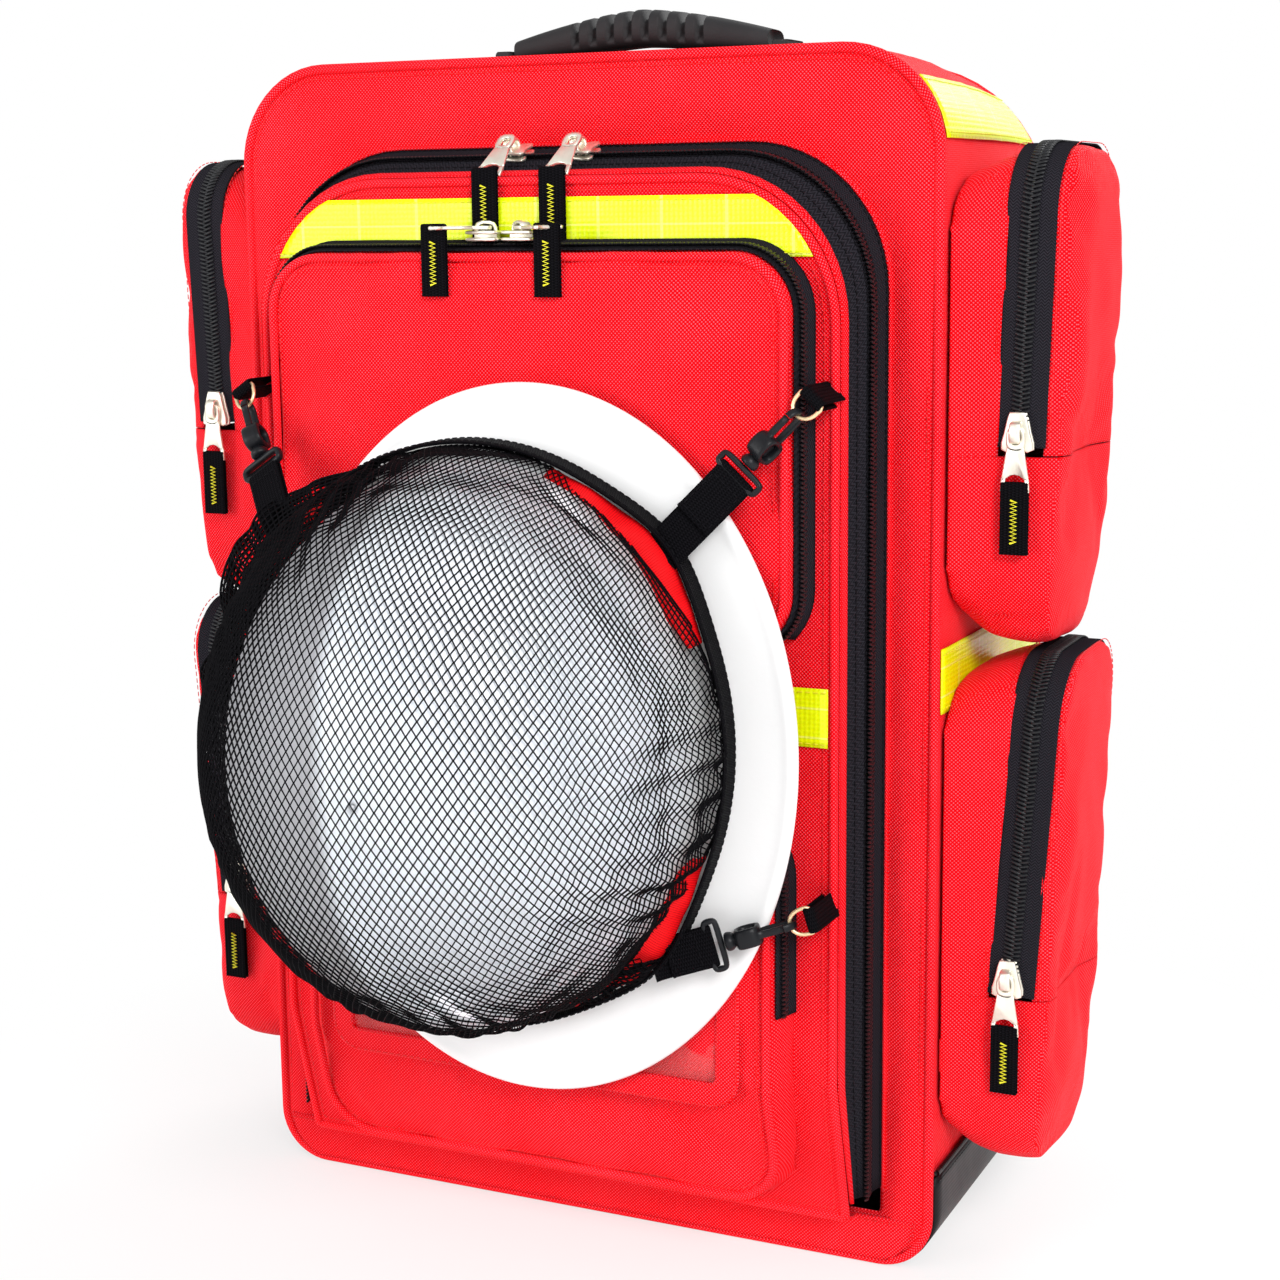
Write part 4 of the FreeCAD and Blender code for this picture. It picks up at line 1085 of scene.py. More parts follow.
# ---- Side pockets ----------------------------------------------------------------------------------
def side_pocket_cloth(pocket, level):
    """The whole pocket as swollen cloth, on the right side of the pack; it narrows where it is sewn on."""
    middle = sum(SIDE_Y) / 2
    half_way = (pocket["low"] + pocket["high"]) / 2
    rows = []
    for x, drawn in ((0.0, 1.0), (7.0, 0.6), (14.0, 0.25), (20.0, 0.08), (30.0, 0.0), (40.0, 0.0)):
        row = []
        for y, z in side_outline(pocket):
            ahead = max(0.0, (middle - y) / (middle - SIDE_Y[0]))
            rise = (half_way - z) / (half_way - pocket["low"])
            row.append(Vector((SIDE + x * MM, y - SIDE_FLARE * drawn * ahead, z + SIDE_DRAW * drawn * rise)))
        rows.append(row)
    bends = 6
    for k in range(bends + 1):
        a = math.pi / 2 * k / bends
        inset = SIDE_EDGE * (1 - math.cos(a))
        x = SIDE_OUT - SIDE_EDGE * (1 - math.sin(a))
        row = []
        for y, z in side_outline(pocket, inset):
            low = max(0.0, (pocket["fold"] - z) / (pocket["fold"] - pocket["low"]))
            row.append(Vector((x - SIDE_THIN * (0.4 + 0.6 * low) * math.sin(a), y, z)))
        rows.append(row)
    block = cloth_block(f"pocket_cloth_{level}", Shape().tube(rows), sizes().voxel)

    def held(p):
        zip_side = p.z > pocket["fold"] - 5 * MM and p.x < SIDE + SIDE_TAPE[1] + 2 * MM
        return p.x < SIDE + 4 * MM or zip_side or abs(p.z - pocket["fold"]) < 3 * MM

    swell(block, held, 4.0, 0.025, sizes().pocket_puff)
    for vertex in block.data.vertices:
        loose = min(1.0, max(0.0, (vertex.co.x - SIDE) / (9 * MM)))
        vertex.co += vertex.normal * wrinkle(vertex.co, 0.04, 2.2 * MM) * loose
    round_off(block)
    return apply_modifiers(block)


def splayed(pocket, point):
    """A point of the right side's pocket, moved out where its zip leans outwards above the fold."""
    up = max(0.0, min(1.0, (point.z - pocket["fold"]) / (pocket["high"] - pocket["fold"])))
    away = point.x - SIDE
    within = max(0.0, min(1.0, (away - 4 * MM) / (14 * MM), (SIDE_OUT - point.x) / (12 * MM)))
    return point + X * pocket["lean"] * up * within


def zip_path(pocket, x, grow=0.0):
    """Zip line of a side pocket above its fold, from the front round the top to the back."""
    pairs = above(side_outline(pocket, -grow), pocket["fold"] + 1 * MM)
    return [splayed(pocket, Vector((x, y, z))) for y, z in pairs][::-1]


def side_pocket_zip(pocket, tag):
    """Tapes and coil of one side pocket; the inner half stays on the pack and the outer half on the flap."""
    middle = zip_path(pocket, SIDE + SIDE_ZIP, 1.3 * MM)
    ups = path_ups(middle, X)
    halves = (("inner", "pack", SIDE_TAPE[0], SIDE_ZIP - ZIP_SPLIT, -1),
              ("outer", f"side_flap_{tag}", SIDE_ZIP + ZIP_SPLIT, SIDE_TAPE[1], 1))
    for half, body, near, far, hand in halves:
        tape = sweep(Shape(), zip_path(pocket, SIDE + (near + far) / 2, 0.3 * MM), ups,
                     flat_section(far - near, sizes().tape))
        edge = SIDE + (near - 1.6 * MM if hand < 0 else far + 1.6 * MM)
        seam = stitch_line(Shape(), zip_path(pocket, edge, 0.9 * MM), ups)
        nodes = ["side_zip_tapes"] if (half, tag) == ("inner", "upper_right") else []
        for name, shape, maker, stands_for in (
                ("zip_tape", tape, zip_tape, nodes),
                ("zip_teeth", zip_row(Shape(), middle, ups, hand), zip_coil, []),
                ("zip_seam", seam, red_thread, [])):
            shape = shape if tag.endswith("right") else shape.mirrored()
            add_piece(f"{name}_{half}_{tag}", shape, body, maker, stands_for)


def side_pocket(level):
    """Both pockets of a level: pouch and gusset stay on the pack, and the flap folds down with its zip."""
    pocket = SIDE_POCKETS[level]
    cloth = side_pocket_cloth(pocket, level)
    fold = UP * pocket["fold"]
    tape_in, tape_out = X * (SIDE + SIDE_TAPE[0] + 1 * MM), X * (SIDE + SIDE_TAPE[1] - 1 * MM)

    def clear(p):
        return p.x > SIDE + 1.5 * MM

    parts = {
        "pocket_pouch": cut_copy("pouch", cloth, [(fold, UP)], clear),
        "pocket_gusset": cut_copy("gusset", cloth, [(fold, -UP), (tape_in, X)], clear),
        "pocket_flap": cut_copy("flap", cloth, [(fold + UP * 0.6 * MM, -UP), (tape_out, -X)]),
    }
    for part in parts.values():
        for vertex in part.data.vertices:
            vertex.co = splayed(pocket, vertex.co)
    for side, word in SIDES:
        tag = f"{level}_{word}"
        flap = f"side_flap_{tag}"
        nodes = {"pocket_pouch": [f"side_pocket_{tag}"], "pocket_gusset": [], "pocket_flap": [flap]}
        for name, part in parts.items():
            copy = into_scene(f"{name}_{tag}", part.data.copy())
            if side < 0:
                copy.data.transform(Matrix.Scale(-1, 4, X))
                copy.data.flip_normals()
            settle(copy, flap if name == "pocket_flap" else "pack", red_cloth, nodes[name])
            thicken(copy, 1.6 * MM, lining)
        side_pocket_zip(pocket, tag)
    for part in (cloth, *parts.values()):
        bpy.data.objects.remove(part)


# ---- Lid -------------------------------------------------------------------------------------------
def lid_face():
    """Front cloth of the lid."""
    rows = []
    for inset in (0.5, 4, 9, 15, 21, 28, 36, 46, 58, 72, 90, 110, 130):
        inset *= MM
        pairs = outline(LID_HALF - LID_TAPER - inset, LID_BOTTOM + inset, LID_TOP - LID_DROP - inset,
                        2 * MM + inset * 0.2, max(LID_R - inset, 4 * MM))
        loose = 0.9 * MM * min(1.0, inset / (9 * MM))
        rows.append([leant(Vector((x, LID_FACE - 0.4 * MM - wrinkle(Vector((x, 1, z)), 0.04, loose), z)))
                     for x, z in pairs])
    face = add_piece("lid_face", Shape().dome(rows), "front_lid", red_cloth, ["lid_shell"])
    thicken(face, 2 * MM, lining)


def lid_gusset():
    """Zip tapes, coil and piping round the lid's arch."""
    edge = lid_outline(LID_DEPTH, -1.2 * MM)
    cord = sweep(Shape(), lid_points(edge, LID_FACE - 0.4 * MM), outward(edge),
                 circle(sizes().piping / 2 * 0.9), closed=True)
    add_piece("lid_piping", cord, "front_lid", red_piping)
    seam = lid_points(lid_outline(LID_DEPTH, -5.5 * MM), LID_FACE - 1.2 * MM)
    add_piece("lid_seam_stitches", stitch_line(Shape(), seam, OUT, closed=True), "front_lid", red_thread)

    def arch_strip(near, far, grow, steps):
        return sheet([arch_points(near + (far - near) * k / steps, grow) for k in range(steps + 1)])

    edgings = ((0.0, 2.6 * MM, "pack", "pack"), (LID_DEPTH - 4.4 * MM, LID_DEPTH, "front_lid", "lid"))
    for near, far, body, word in edgings:
        strip = arch_strip(near, far, 1.7 * MM, 4)
        thicken(add_piece(f"main_zip_edging_{word}", strip, body, red_cloth), 1.0 * MM)
    halves = ((0.0, ZIP_DEPTH - ZIP_SPLIT, "pack", "pack", -1, ["main_zip_tape"]),
              (ZIP_DEPTH + ZIP_SPLIT, LID_DEPTH, "front_lid", "lid", 1, []))
    for near, far, body, word, hand, nodes in halves:
        strip = arch_strip(near, far, 0.2 * MM, 8)
        thicken(add_piece(f"main_zip_tape_{word}", strip, body, zip_tape, nodes), 1.2 * MM)
        middle = arch_points(ZIP_DEPTH, 1.4 * MM)
        teeth = zip_row(Shape(), middle, path_ups(middle, Y), hand)
        add_piece(f"main_zip_teeth_{word}", teeth, body, zip_coil)
        guide = Shape()
        for inset in (3.2 * MM, 10.5 * MM):
            line = arch_points(ZIP_DEPTH + hand * inset, 0.6 * MM)
            stitch_line(guide, line, path_ups(line, Y))
        add_piece(f"main_zip_seam_{word}", guide, body, black_thread, slot="zip_tape")


def arch_points(depth, grow):
    """Open arch from the lid's foot on the right, over the top, to its foot on the left."""
    return lid_points(above(lid_outline(depth, grow), LID_BOTTOM + 2 * MM), FRONT - depth)


def lid_bands():
    """Reflective bands across the lid, cut along its round upper corners."""
    shape, seams = Shape(), Shape()
    height = sizes().band
    half = LID_HALF - LID_TAPER - 3.5 * MM
    bend = LID_TOP - LID_DROP - LID_R
    low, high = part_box("lid_bands")
    for foot in (high.z - height, low.z):
        rows = []
        for i in range(9):
            z = foot + height * i / 8
            over = max(0.0, z - bend)
            reach = half - LID_R + math.sqrt(max(0.0, LID_R ** 2 - over ** 2))
            row = []
            for k in range(61):
                x = -reach + 2 * reach * k / 60
                row.append(Vector((x, LID_FACE - 1.9 * MM - wrinkle(Vector((x, 2, z)), 0.03, 0.5 * MM), z)))
            rows.append(row)
        shape.rows(rows)
        for edge, inward in ((rows[0], 1.6 * MM), (rows[-1], -1.6 * MM)):
            stitch_line(seams, [p + UP * inward + OUT * 0.5 * MM for p in edge], OUT)
    thicken(add_piece("lid_bands_tape", shape, "front_lid", reflective_band, ["lid_bands"]), 0.5 * MM)
    add_piece("lid_band_stitches", seams, "front_lid", yellow_thread)


# ---- Front pockets ---------------------------------------------------------------------------------
def front_pocket(level):
    """One front pocket as swollen cloth, with its piping and zip."""
    pocket = FRONT_POCKETS[level]
    deep = LID_FACE - POCKET_FACE
    rows = [lid_points(pocket_outline(pocket, deep * k / 4), LID_FACE - deep * k / 4) for k in range(5)]
    block = cloth_block(f"front_pocket_{level}_cloth", Shape().tube(rows), sizes().voxel)

    def face_at(z):
        return leant(Vector((0, POCKET_FACE, z))).y

    def held(p):
        return p.y > face_at(p.z) + 4 * MM

    swell(block, held, 2.0, 0.02, 2.2 * MM)
    for vertex in block.data.vertices:
        if vertex.co.y < face_at(vertex.co.z) + 2 * MM:
            vertex.co.y -= wrinkle(Vector((vertex.co.x, 3, vertex.co.z)), 0.05, 0.9 * MM)
    round_off(block)
    apply_modifiers(block)
    settle(block, "front_lid", red_cloth, [f"front_pocket_{level}"])
    front_pocket_trim(pocket, level, deep)


def front_pocket_trim(pocket, level, deep):
    """Piping round a front pocket's face, and its zip over the top and down both sides."""
    edge = pocket_outline(pocket, deep, -0.6 * MM)
    cord = sweep(Shape(), lid_points(edge, POCKET_FACE - 0.2 * MM), outward(edge),
                 circle(sizes().piping * 0.42), closed=True)
    add_piece(f"front_pocket_piping_{level}", cord, "front_lid", red_piping)
    inner = lid_points(pocket_outline(pocket, deep, -4.6 * MM), POCKET_FACE - 1.0 * MM)
    stitches = stitch_line(Shape(), inner, OUT, closed=True)
    add_piece(f"front_pocket_stitches_{level}", stitches, "front_lid", red_thread)

    def run(depth, grow):
        return front_points(above(pocket_outline(pocket, depth, grow), pocket["zip_from"]), LID_FACE - depth)

    tape = sheet([run(1.2 * MM + (deep - 5.5 * MM) * k / 8, 0.5 * MM) for k in range(9)])
    nodes = ["front_pocket_zips"] if level == "upper" else []
    thicken(add_piece(f"front_zip_tape_{level}", tape, "front_lid", zip_tape, nodes), 0.7 * MM, offset=1.0)
    chain = Shape()
    line = run(deep / 2, 1.6 * MM)
    for hand in (-1, 1):
        zip_row(chain, line, path_ups(line, Y), hand)
    add_piece(f"front_zip_teeth_{level}", chain, "front_lid", zip_coil)


def document_window():
    """Clear film in a sewn cloth frame on the lower front pocket."""
    low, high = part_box("document_window")
    y = high.y - 1.6 * MM
    size = high - low
    film = sheet(grid(12, 36, lambda i, k: Vector((
        low.x + size.x * k / 36, y - wrinkle(Vector((k, i, 0)), 9.0, 0.5 * MM), low.z + size.z * i / 12))))
    thicken(add_piece("window_film", film, "front_lid", clear_film, ["document_window"]), 0.3 * MM)
    wide = 11 * MM

    def frame_path(grow, lift):
        r = 3 * MM + grow
        pairs = outline(size.x / 2 + grow, low.z - grow, high.z + grow, r, r, (low.x + high.x) / 2)
        return front_points(pairs, y - lift)

    border = sweep(Shape(), frame_path(wide * 0.5, 0.7 * MM), OUT, flat_section(wide, 1.1 * MM), closed=True)
    add_piece("window_border", border, "front_lid", red_cloth)
    stitches = Shape()
    for share in (0.1, 0.9):
        stitch_line(stitches, frame_path(wide * share, 1.4 * MM), OUT, closed=True)
    add_piece("window_stitches", stitches, "front_lid", red_thread)


# ---- Sliders and pulls -----------------------------------------------------------------------------
PULL_LENGTH = 26 * MM
PULL_THICK = 1.5 * MM
TAB_SIZE = Vector((30, 12, 3)) * MM
TAB_OVERLAP = 4 * MM
MAIN_DROP = math.radians(40)
MAIN_SHIFT = Vector((0, -3.4, 2.6)) * MM
FRONT_SWING = math.radians(34)
CROWN_AXIS = 5.7 * MM


def rounded_plate(pairs, thickness):
    """Flat plate with a chamfered edge, drawn as (x, y) pairs in millimetres."""
    points = [Vector((x, y, 0)) * MM for x, y in pairs]
    centre = sum(points, Vector()) / len(points)
    return Shape().tube([[centre.lerp(p, share) + UP * z * thickness for p in points]
                         for share, z in ((0.9, -0.5), (1.0, -0.3), (1.0, 0.3), (0.9, 0.5))], turned=True)


def ring_plate(long, wide, hole_long, hole_wide, thickness):
    """Flat oval ring, drawn in X and Y about its own middle."""
    section = ((1.0, -0.3), (1.0, 0.3), (0.94, 0.5), (0.0, 0.5), (-0.06, 0.3), (-0.06, -0.3), (0.0, -0.5),
               (0.94, -0.5))
    return sheet([[Vector(((hole_long + (long - hole_long) * part) / 2 * c,
                           (hole_wide + (wide - hole_wide) * part) / 2 * s, z * thickness))
                   for c, s in full_circle(32, 0.7)] for part, z in section], around=True, close=True)


def pull_shape():
    """Metal pull along X: an eye on the crown, a plate that widens and two legs with the tab's bar."""
    eye = ring_plate(10 * MM, 8 * MM, 5.4 * MM, 4.4 * MM, PULL_THICK)
    metal = Shape().stamp(eye, Matrix.Translation((2.4 * MM, 0, 0)))
    plate = ((5.4, -3.4), (11.0, -4.4), (17.0, -5.4), (20.0, -5.9), (19.0, -4.0), (17.6, -2.0), (17.2, 0.0),
             (17.6, 2.0), (19.0, 4.0), (20.0, 5.9), (17.0, 5.4), (11.0, 4.4), (5.4, 3.4), (6.0, 0.0))
    metal.stamp(rounded_plate(plate, PULL_THICK))
    for side in (-1, 1):
        leg = [(x, side * y) for x, y in ((18.5, 3.9), (18.8, 5.8), (24.5, 6.2), (24.5, 4.8))]
        metal.stamp(rounded_plate(leg[::-side], PULL_THICK))
    bar = [Vector((23.6, y, 0)) * MM for y in (-6.0, -3.0, 0.0, 3.0, 6.0)]
    return sweep(metal, bar, UP, circle(0.9 * MM, 8))


def tab_shape():
    """Folded webbing tab hanging along X from the pull's slot."""
    half = TAB_SIZE.z / 2 - 0.45 * MM
    turns = 6
    path = [Vector((TAB_SIZE.x, 0, half))]
    path += [Vector((TAB_SIZE.x * (1 - k / 8) + half, 0, half)) for k in range(1, 9)]
    for k in range(1, turns):
        a = math.pi * k / turns
        path.append(Vector((half - half * math.sin(a), 0, half * math.cos(a))))
    path += [Vector((half + (TAB_SIZE.x - half) * k / 8, 0, -half)) for k in range(9)]
    return sweep(Shape(), path, path_ups(path, OUT), flat_section(TAB_SIZE.y, 0.9 * MM))


def zigzag_shape():
    """Yellow zigzag of thread down both faces of a tab."""
    thread = Shape()
    count = 22
    for face in (1, -1):
        z = face * (TAB_SIZE.z / 2 + 0.1 * MM)
        path = [Vector((TAB_SIZE.x * (0.24 + 0.6 * k / count), 1.3 * MM if k % 2 else -1.3 * MM, z))
                for k in range(count + 1)]
        sweep(thread, path, UP, circle(0.5 * MM, 5))
    return thread


def pull(tag, body, axis, ahead, face, tab_y=None):
    """One pull: metal from its axis along ahead, and the webbing tab hanging from its end or at a depth."""
    metal = Shape().stamp(pull_shape(), facing(axis, ahead, face))
    add_piece(f"pull_{tag}_metal", metal, body, nickel, [body])
    end = axis + ahead * (PULL_LENGTH - TAB_OVERLAP)
    place = facing(Vector((end.x, end.y if tab_y is None else tab_y, end.z + TAB_SIZE.z / 2)), -UP, OUT)
    round_off(add_piece(f"pull_{tag}_tab", Shape().stamp(tab_shape(), place), body, webbing))
    zigzag = Shape().stamp(zigzag_shape(), place)
    add_piece(f"pull_{tag}_zigzag", zigzag, body, yellow_thread, slot="black_webbing")


def slider_shape():
    """Slider along X with its face up: waisted top and bottom plates and the core between them."""
    body = Shape()
    waisted = ((-7.5, -2.6), (-5.0, -3.4), (0.0, -4.4), (4.0, -5.4), (6.6, -5.4), (7.5, -3.6), (6.6, -1.2),
               (6.6, 1.2), (7.5, 3.6), (6.6, 5.4), (4.0, 5.4), (0.0, 4.4), (-5.0, 3.4), (-7.5, 2.6))
    core = ((-4, -2), (5.5, -1.4), (5.5, 1.4), (-4, 2))
    for pairs, thickness, z in ((waisted, 1.5, 0.8), (waisted, 1.5, 3.7), (core, 3, 2.2)):
        body.stamp(rounded_plate(pairs, thickness * MM), Matrix.Translation((0, 0, z * MM)))
    return body


def crown_shape():
    """Bridge over the slider that the pull's eye goes round."""
    path = [Vector((x, 0, z)) * MM for x, z in ((-4.0, 4.0), (-4.0, 5.6), (-3.2, 7.2), (-1.4, 7.9),
                                                (1.4, 7.9), (3.2, 7.2), (4.0, 5.6), (4.0, 4.0))]
    return sweep(Shape(), path, Y, bar_section(0.8 * MM, 2.4 * MM, 0.5, 0.7))


def slider(tag, node, seat, ahead, face, turn):
    """One slider at its seat on the tape, with its crown turned about the face by an angle in degrees."""
    at = facing(seat, ahead, face)
    shape = Shape().stamp(slider_shape(), at @ Matrix.Diagonal((1.1, 1.22, 1.0, 1.0)))
    shape.stamp(crown_shape(), at @ Matrix.Rotation(math.radians(turn), 4, "Z"))
    bevel = add_piece(f"slider_{tag}", shape, node, nickel, [node]).modifiers.new("soft_edges", "BEVEL")
    bevel.width = 0.25 * MM
    bevel.segments = 2
    bevel.limit_method = "ANGLE"


def joint_place(name):
    return Vector(JOINTS[name]["pos_m"])


def all_sliders():
    """Every slider and pull, seated where its joint turns."""
    for level in SIDE_POCKETS:
        for side, word in SIDES:
            tag = f"{level}_{word}"
            axis = joint_place(f"pull_{tag}_swing")
            slider(f"side_{tag}", f"side_slider_{tag}", axis - OUT * CROWN_AXIS, -UP, OUT, 0)
            pull(f"side_{tag}", f"side_pull_{tag}", axis, -UP, OUT)
    lid_top = Vector((0, -LID_DROP, LID_DEPTH)).normalized()
    main_ahead = Vector((0, -math.cos(MAIN_DROP), -math.sin(MAIN_DROP)))
    for side, word in SIDES:
        axis = joint_place(f"main_pull_{word}_swing")
        slider(f"main_{word}", f"main_slider_{word}", axis - lid_top * CROWN_AXIS, X, lid_top, -90)
        tab_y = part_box(f"main_pull_{word}")[0].y + TAB_SIZE.z / 2
        pull(f"main_{word}", f"main_pull_{word}", axis + MAIN_SHIFT, main_ahead, main_ahead.cross(X), tab_y)
        axis = joint_place(f"front_pull_{word}_swing")
        turn = 180 + math.degrees(FRONT_SWING) if side < 0 else -math.degrees(FRONT_SWING)
        slider(f"front_{word}", f"front_slider_{word}", axis - UP * CROWN_AXIS, X, UP, turn)
        ahead = Vector((side * math.cos(FRONT_SWING), -math.sin(FRONT_SWING), 0))
        pull(f"front_{word}", f"front_pull_{word}", axis, ahead, UP)
    low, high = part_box("lower_pocket_slider")
    seat = Vector((low.x + 7.5 * MM, (low.y + high.y) / 2, low.z))
    slider("lower_pocket", "lower_pocket_slider", seat, X, UP, 0)
    axis = seat + UP * CROWN_AXIS
    metal = Shape().stamp(pull_shape(), facing(axis, X, UP))
    add_piece("pull_lower_pocket_metal", metal, "lower_pocket_slider", nickel)
    tab = Shape().stamp(tab_shape(), facing(axis + X * (PULL_LENGTH - TAB_OVERLAP), X, UP))
    add_piece("pull_lower_pocket_tab", tab, "lower_pocket_slider", webbing)


# ---- Helmet and net --------------------------------------------------------------------------------
HELMET_CENTRE = Vector((10, 0, 241)) * MM
BRIM_HALF = Vector((117, 0, 152)) * MM
DOME_CENTRE = Vector((-5, 0, 246)) * MM
DOME_HALF = Vector((96, 135, 118)) * MM
DOME_POWER = 2.4
NET_CENTRE = Vector((-9, 0, 246)) * MM
NET_HALF = Vector((111, 0, 124)) * MM
NET_BASE = 15 * MM
NET_APEX = 142 * MM
NET_POWER = 2.2
RIM_WIDTH = 15 * MM
RIBBON_WIDTH = 15 * MM
RIBBON_RUNS = ((-66.0, -20.0), (22.0, 70.0), (126.0, 176.0), (214.0, 262.0))
BUNCH_RUNS = ((-84.0, -44.0), (112.0, 186.0), (204.0, 276.0))
HELMET_TILT = math.radians(4.6)
BRIM_PLANE = POCKET_FACE - 2.2 * MM - BRIM_HALF.x * math.sin(HELMET_TILT)
# Edge of the painted shade on the helmet's dome, and how soft it is.
HELMET_SHADE_EDGE = -8 * MM
SHADE_EDGE_SOFT = 7 * MM
BRIM_THICK = 2.4 * MM


def helmet_place(point):
    """A point drawn about the pack's X and Z, moved to the helmet's tilted plane."""
    pivot = Vector((HELMET_CENTRE.x, BRIM_PLANE, HELMET_CENTRE.z))
    moved = Vector((point.x, point.y + BRIM_PLANE, point.z))
    return pivot + Matrix.Rotation(HELMET_TILT, 3, "Z") @ (moved - pivot)


def dome_profile(base, apex, power, count):
    """Radius and height of a dome's side, as shares, at even angles from its base."""
    start = math.asin((base / apex) ** (power / 2))
    result = []
    for i in range(count + 1):
        a = start + (math.pi / 2 - start) * i / count
        r = math.cos(a) ** (2 / power) if i < count else 0.0
        result.append((r, apex * math.sin(a) ** (2 / power)))
    return result


def helmet():
    """White shell with a wide brim, its edge turned into a bead."""
    def ring(share, centre, half, lift):
        return [helmet_place(Vector((centre.x + half.x * c, -lift, centre.z + half.z * s)))
                for c, s in circle(share, 96)]

    brim_edge = ((1.0, 0.5), (1.0, 1.0), (0.993, 1.25), (0.98, 1.2), (0.965, 1.0))
    rows = [ring(share, HELMET_CENTRE, BRIM_HALF, BRIM_THICK * lift) for share, lift in brim_edge]
    for k in range(1, 6):
        t = k / 6
        half = (BRIM_HALF * 0.965).lerp(DOME_HALF * 1.06, t)
        rows.append(ring(1.0, HELMET_CENTRE.lerp(DOME_CENTRE, t), half, BRIM_THICK + 0.8 * MM * t * t))
    rows.append(ring(1.02, DOME_CENTRE, DOME_HALF, 3.4 * MM))
    profile = even_profile(6 * MM, DOME_HALF.y, DOME_POWER, DOME_HALF.x, 34)[0]
    rows += [ring(r, DOME_CENTRE, DOME_HALF, lift) for r, lift in profile[:-1] + [(0.008, DOME_HALF.y)]]
    outer = Shape().dome(rows, flip=True).inside_out()
    shell = add_piece("helmet_shell", outer, "front_lid", helmet_shell, ["helmet"])
    thicken(shell, BRIM_THICK * 0.9)
    round_off(shell)


def near(angle, middle, width):
    """How close an angle is to another, from 1 down to 0."""
    gap = (angle - math.radians(middle) + math.pi) % (2 * math.pi) - math.pi
    return math.exp(-(gap / width) ** 2)


def rim_reach(angle):
    """Share by which the rim stands out here; the four straps pull it out and it sags between them."""
    pull_out = sum(near(angle, corner["rim_angle"], 0.22) for corner in CORNERS.values())
    slack = near(angle, 187, 0.75)
    return 1 + 0.04 * pull_out + slack * (0.028 * math.sin(angle * 17) - 0.016)


def net_point(angle, share):
    """A point of the net: share 0 at the rim, 1 at the apex, even along the arc."""
    at = share * (len(NET_PROFILE) - 1)
    i = min(int(at), len(NET_PROFILE) - 2)
    t = at - i
    r, lift = (a + (b - a) * t for a, b in zip(NET_PROFILE[i], NET_PROFILE[i + 1]))
    foot = (1 - share) ** 4
    turn = sum(math.radians(size) * math.sin(2 * (math.radians(middle) - angle)) * near(angle, middle, 0.3)
               for middle, size in NET_GATHERS)
    tuck = sum(near(angle, middle, 0.33) for middle in NET_TUCKS)
    reach = 1 + (rim_reach(angle) - 1) * math.exp(-((lift - NET_BASE) / (34 * MM)) ** 2) - 0.075 * tuck * foot
    fold = wrinkle(Vector((math.cos(angle), math.sin(angle), share * 3)), 0.42, 0.03) * (1 - share)
    pleat = sum(near(angle, middle, 0.2) for middle, size in NET_GATHERS) * math.sin(angle * 46) * 0.02
    reach += (fold + pleat * (1 - share) ** 2) if share > 0.02 else 0.0
    angle += turn * foot
    lift += tuck * foot * 5 * MM
    return Vector((NET_CENTRE.x + NET_HALF.x * r * reach * math.cos(angle), -lift,
                   NET_CENTRE.z + NET_HALF.z * r * reach * math.sin(angle)))


def even_profile(base, apex, power, radius, count):
    """A dome's side view with its points evenly spaced along the arc, and the arc's length."""
    fine = dome_profile(base, apex, power, 400)
    points = [(r * radius, lift) for r, lift in fine]
    lengths = [0.0]
    for a, b in zip(points, points[1:]):
        lengths.append(lengths[-1] + math.dist(a, b))
    result = []
    i = 0
    for k in range(count + 1):
        want = lengths[-1] * k / count
        while i < len(lengths) - 2 and lengths[i + 1] < want:
            i += 1
        t = (want - lengths[i]) / (lengths[i + 1] - lengths[i])
        result.append(tuple(a + (b - a) * t for a, b in zip(fine[i], fine[i + 1])))
    return result, lengths[-1]


NET_PROFILE, NET_ARC = even_profile(NET_BASE, NET_APEX, NET_POWER, (NET_HALF.x + NET_HALF.z) / 2, 60)
NET_GATHERS = ((2, 9), (-24, 8), (112, 7), (150, 8), (205, 9), (-76, 9), (250, 8))
NET_TUCKS = (43, -47)
NET_LEAST_SHARE = 0.31
SKIRT = ((112, 0), (128, 7), (142, 16), (152, 22), (160, 17), (170, 23), (181, 8), (188, 3), (198, 13),
         (209, 6), (221, 14), (240, 12), (252, 6), (264, 0))


def net_mesh():
    """Open diamond mesh: threads that run round the dome, drawn on a flat disc and bent over it."""
    cell = sizes().mesh_cell
    wide = cell * 0.76
    radius = NET_ARC
    rows = int(2 * radius / (cell / 2)) + 1
    columns = int(2 * radius / (wide / 2)) + 1
    points = {}
    shape = Shape()

    def knot(i, j):
        """Number of the knot in this row and column, or None outside the disc."""
        if (i, j) in points:
            return points[i, j]
        u = -radius + j * wide / 2
        v = -radius + i * cell / 2
        away = math.hypot(u, v)
        if away > radius * 1.012:
            return None
        share = max(0.0, 1 - away / radius)
        points[i, j] = len(shape.points)
        shape.points.append(helmet_place(net_point(math.atan2(v, u), share)))
        return points[i, j]

    for i in range(rows - 1):
        for j in range(columns - 1):
            if (i + j) % 2 == 0:
                corners = [knot(i, j), knot(i + 1, j + 1), knot(i + 2, j), knot(i + 1, j - 1)]
                if None not in corners and i + 2 < rows:
                    shape.faces.append(tuple(corners))
                    shape.runs.append(((0.0, 0.0),) * 4)
    net = add_piece("helmet_net_mesh", shape, "front_lid", net_thread, ["helmet_net"])
    threads(net).use_boundary = True
    strand = math.hypot(cell, wide) / 2
    thread_area = len(shape.faces) * 2 * strand * sizes().mesh_thread
    2 * radius
    2 * radius
    max(thread_area, NET_LEAST_SHARE * 4 * radius ** 2)


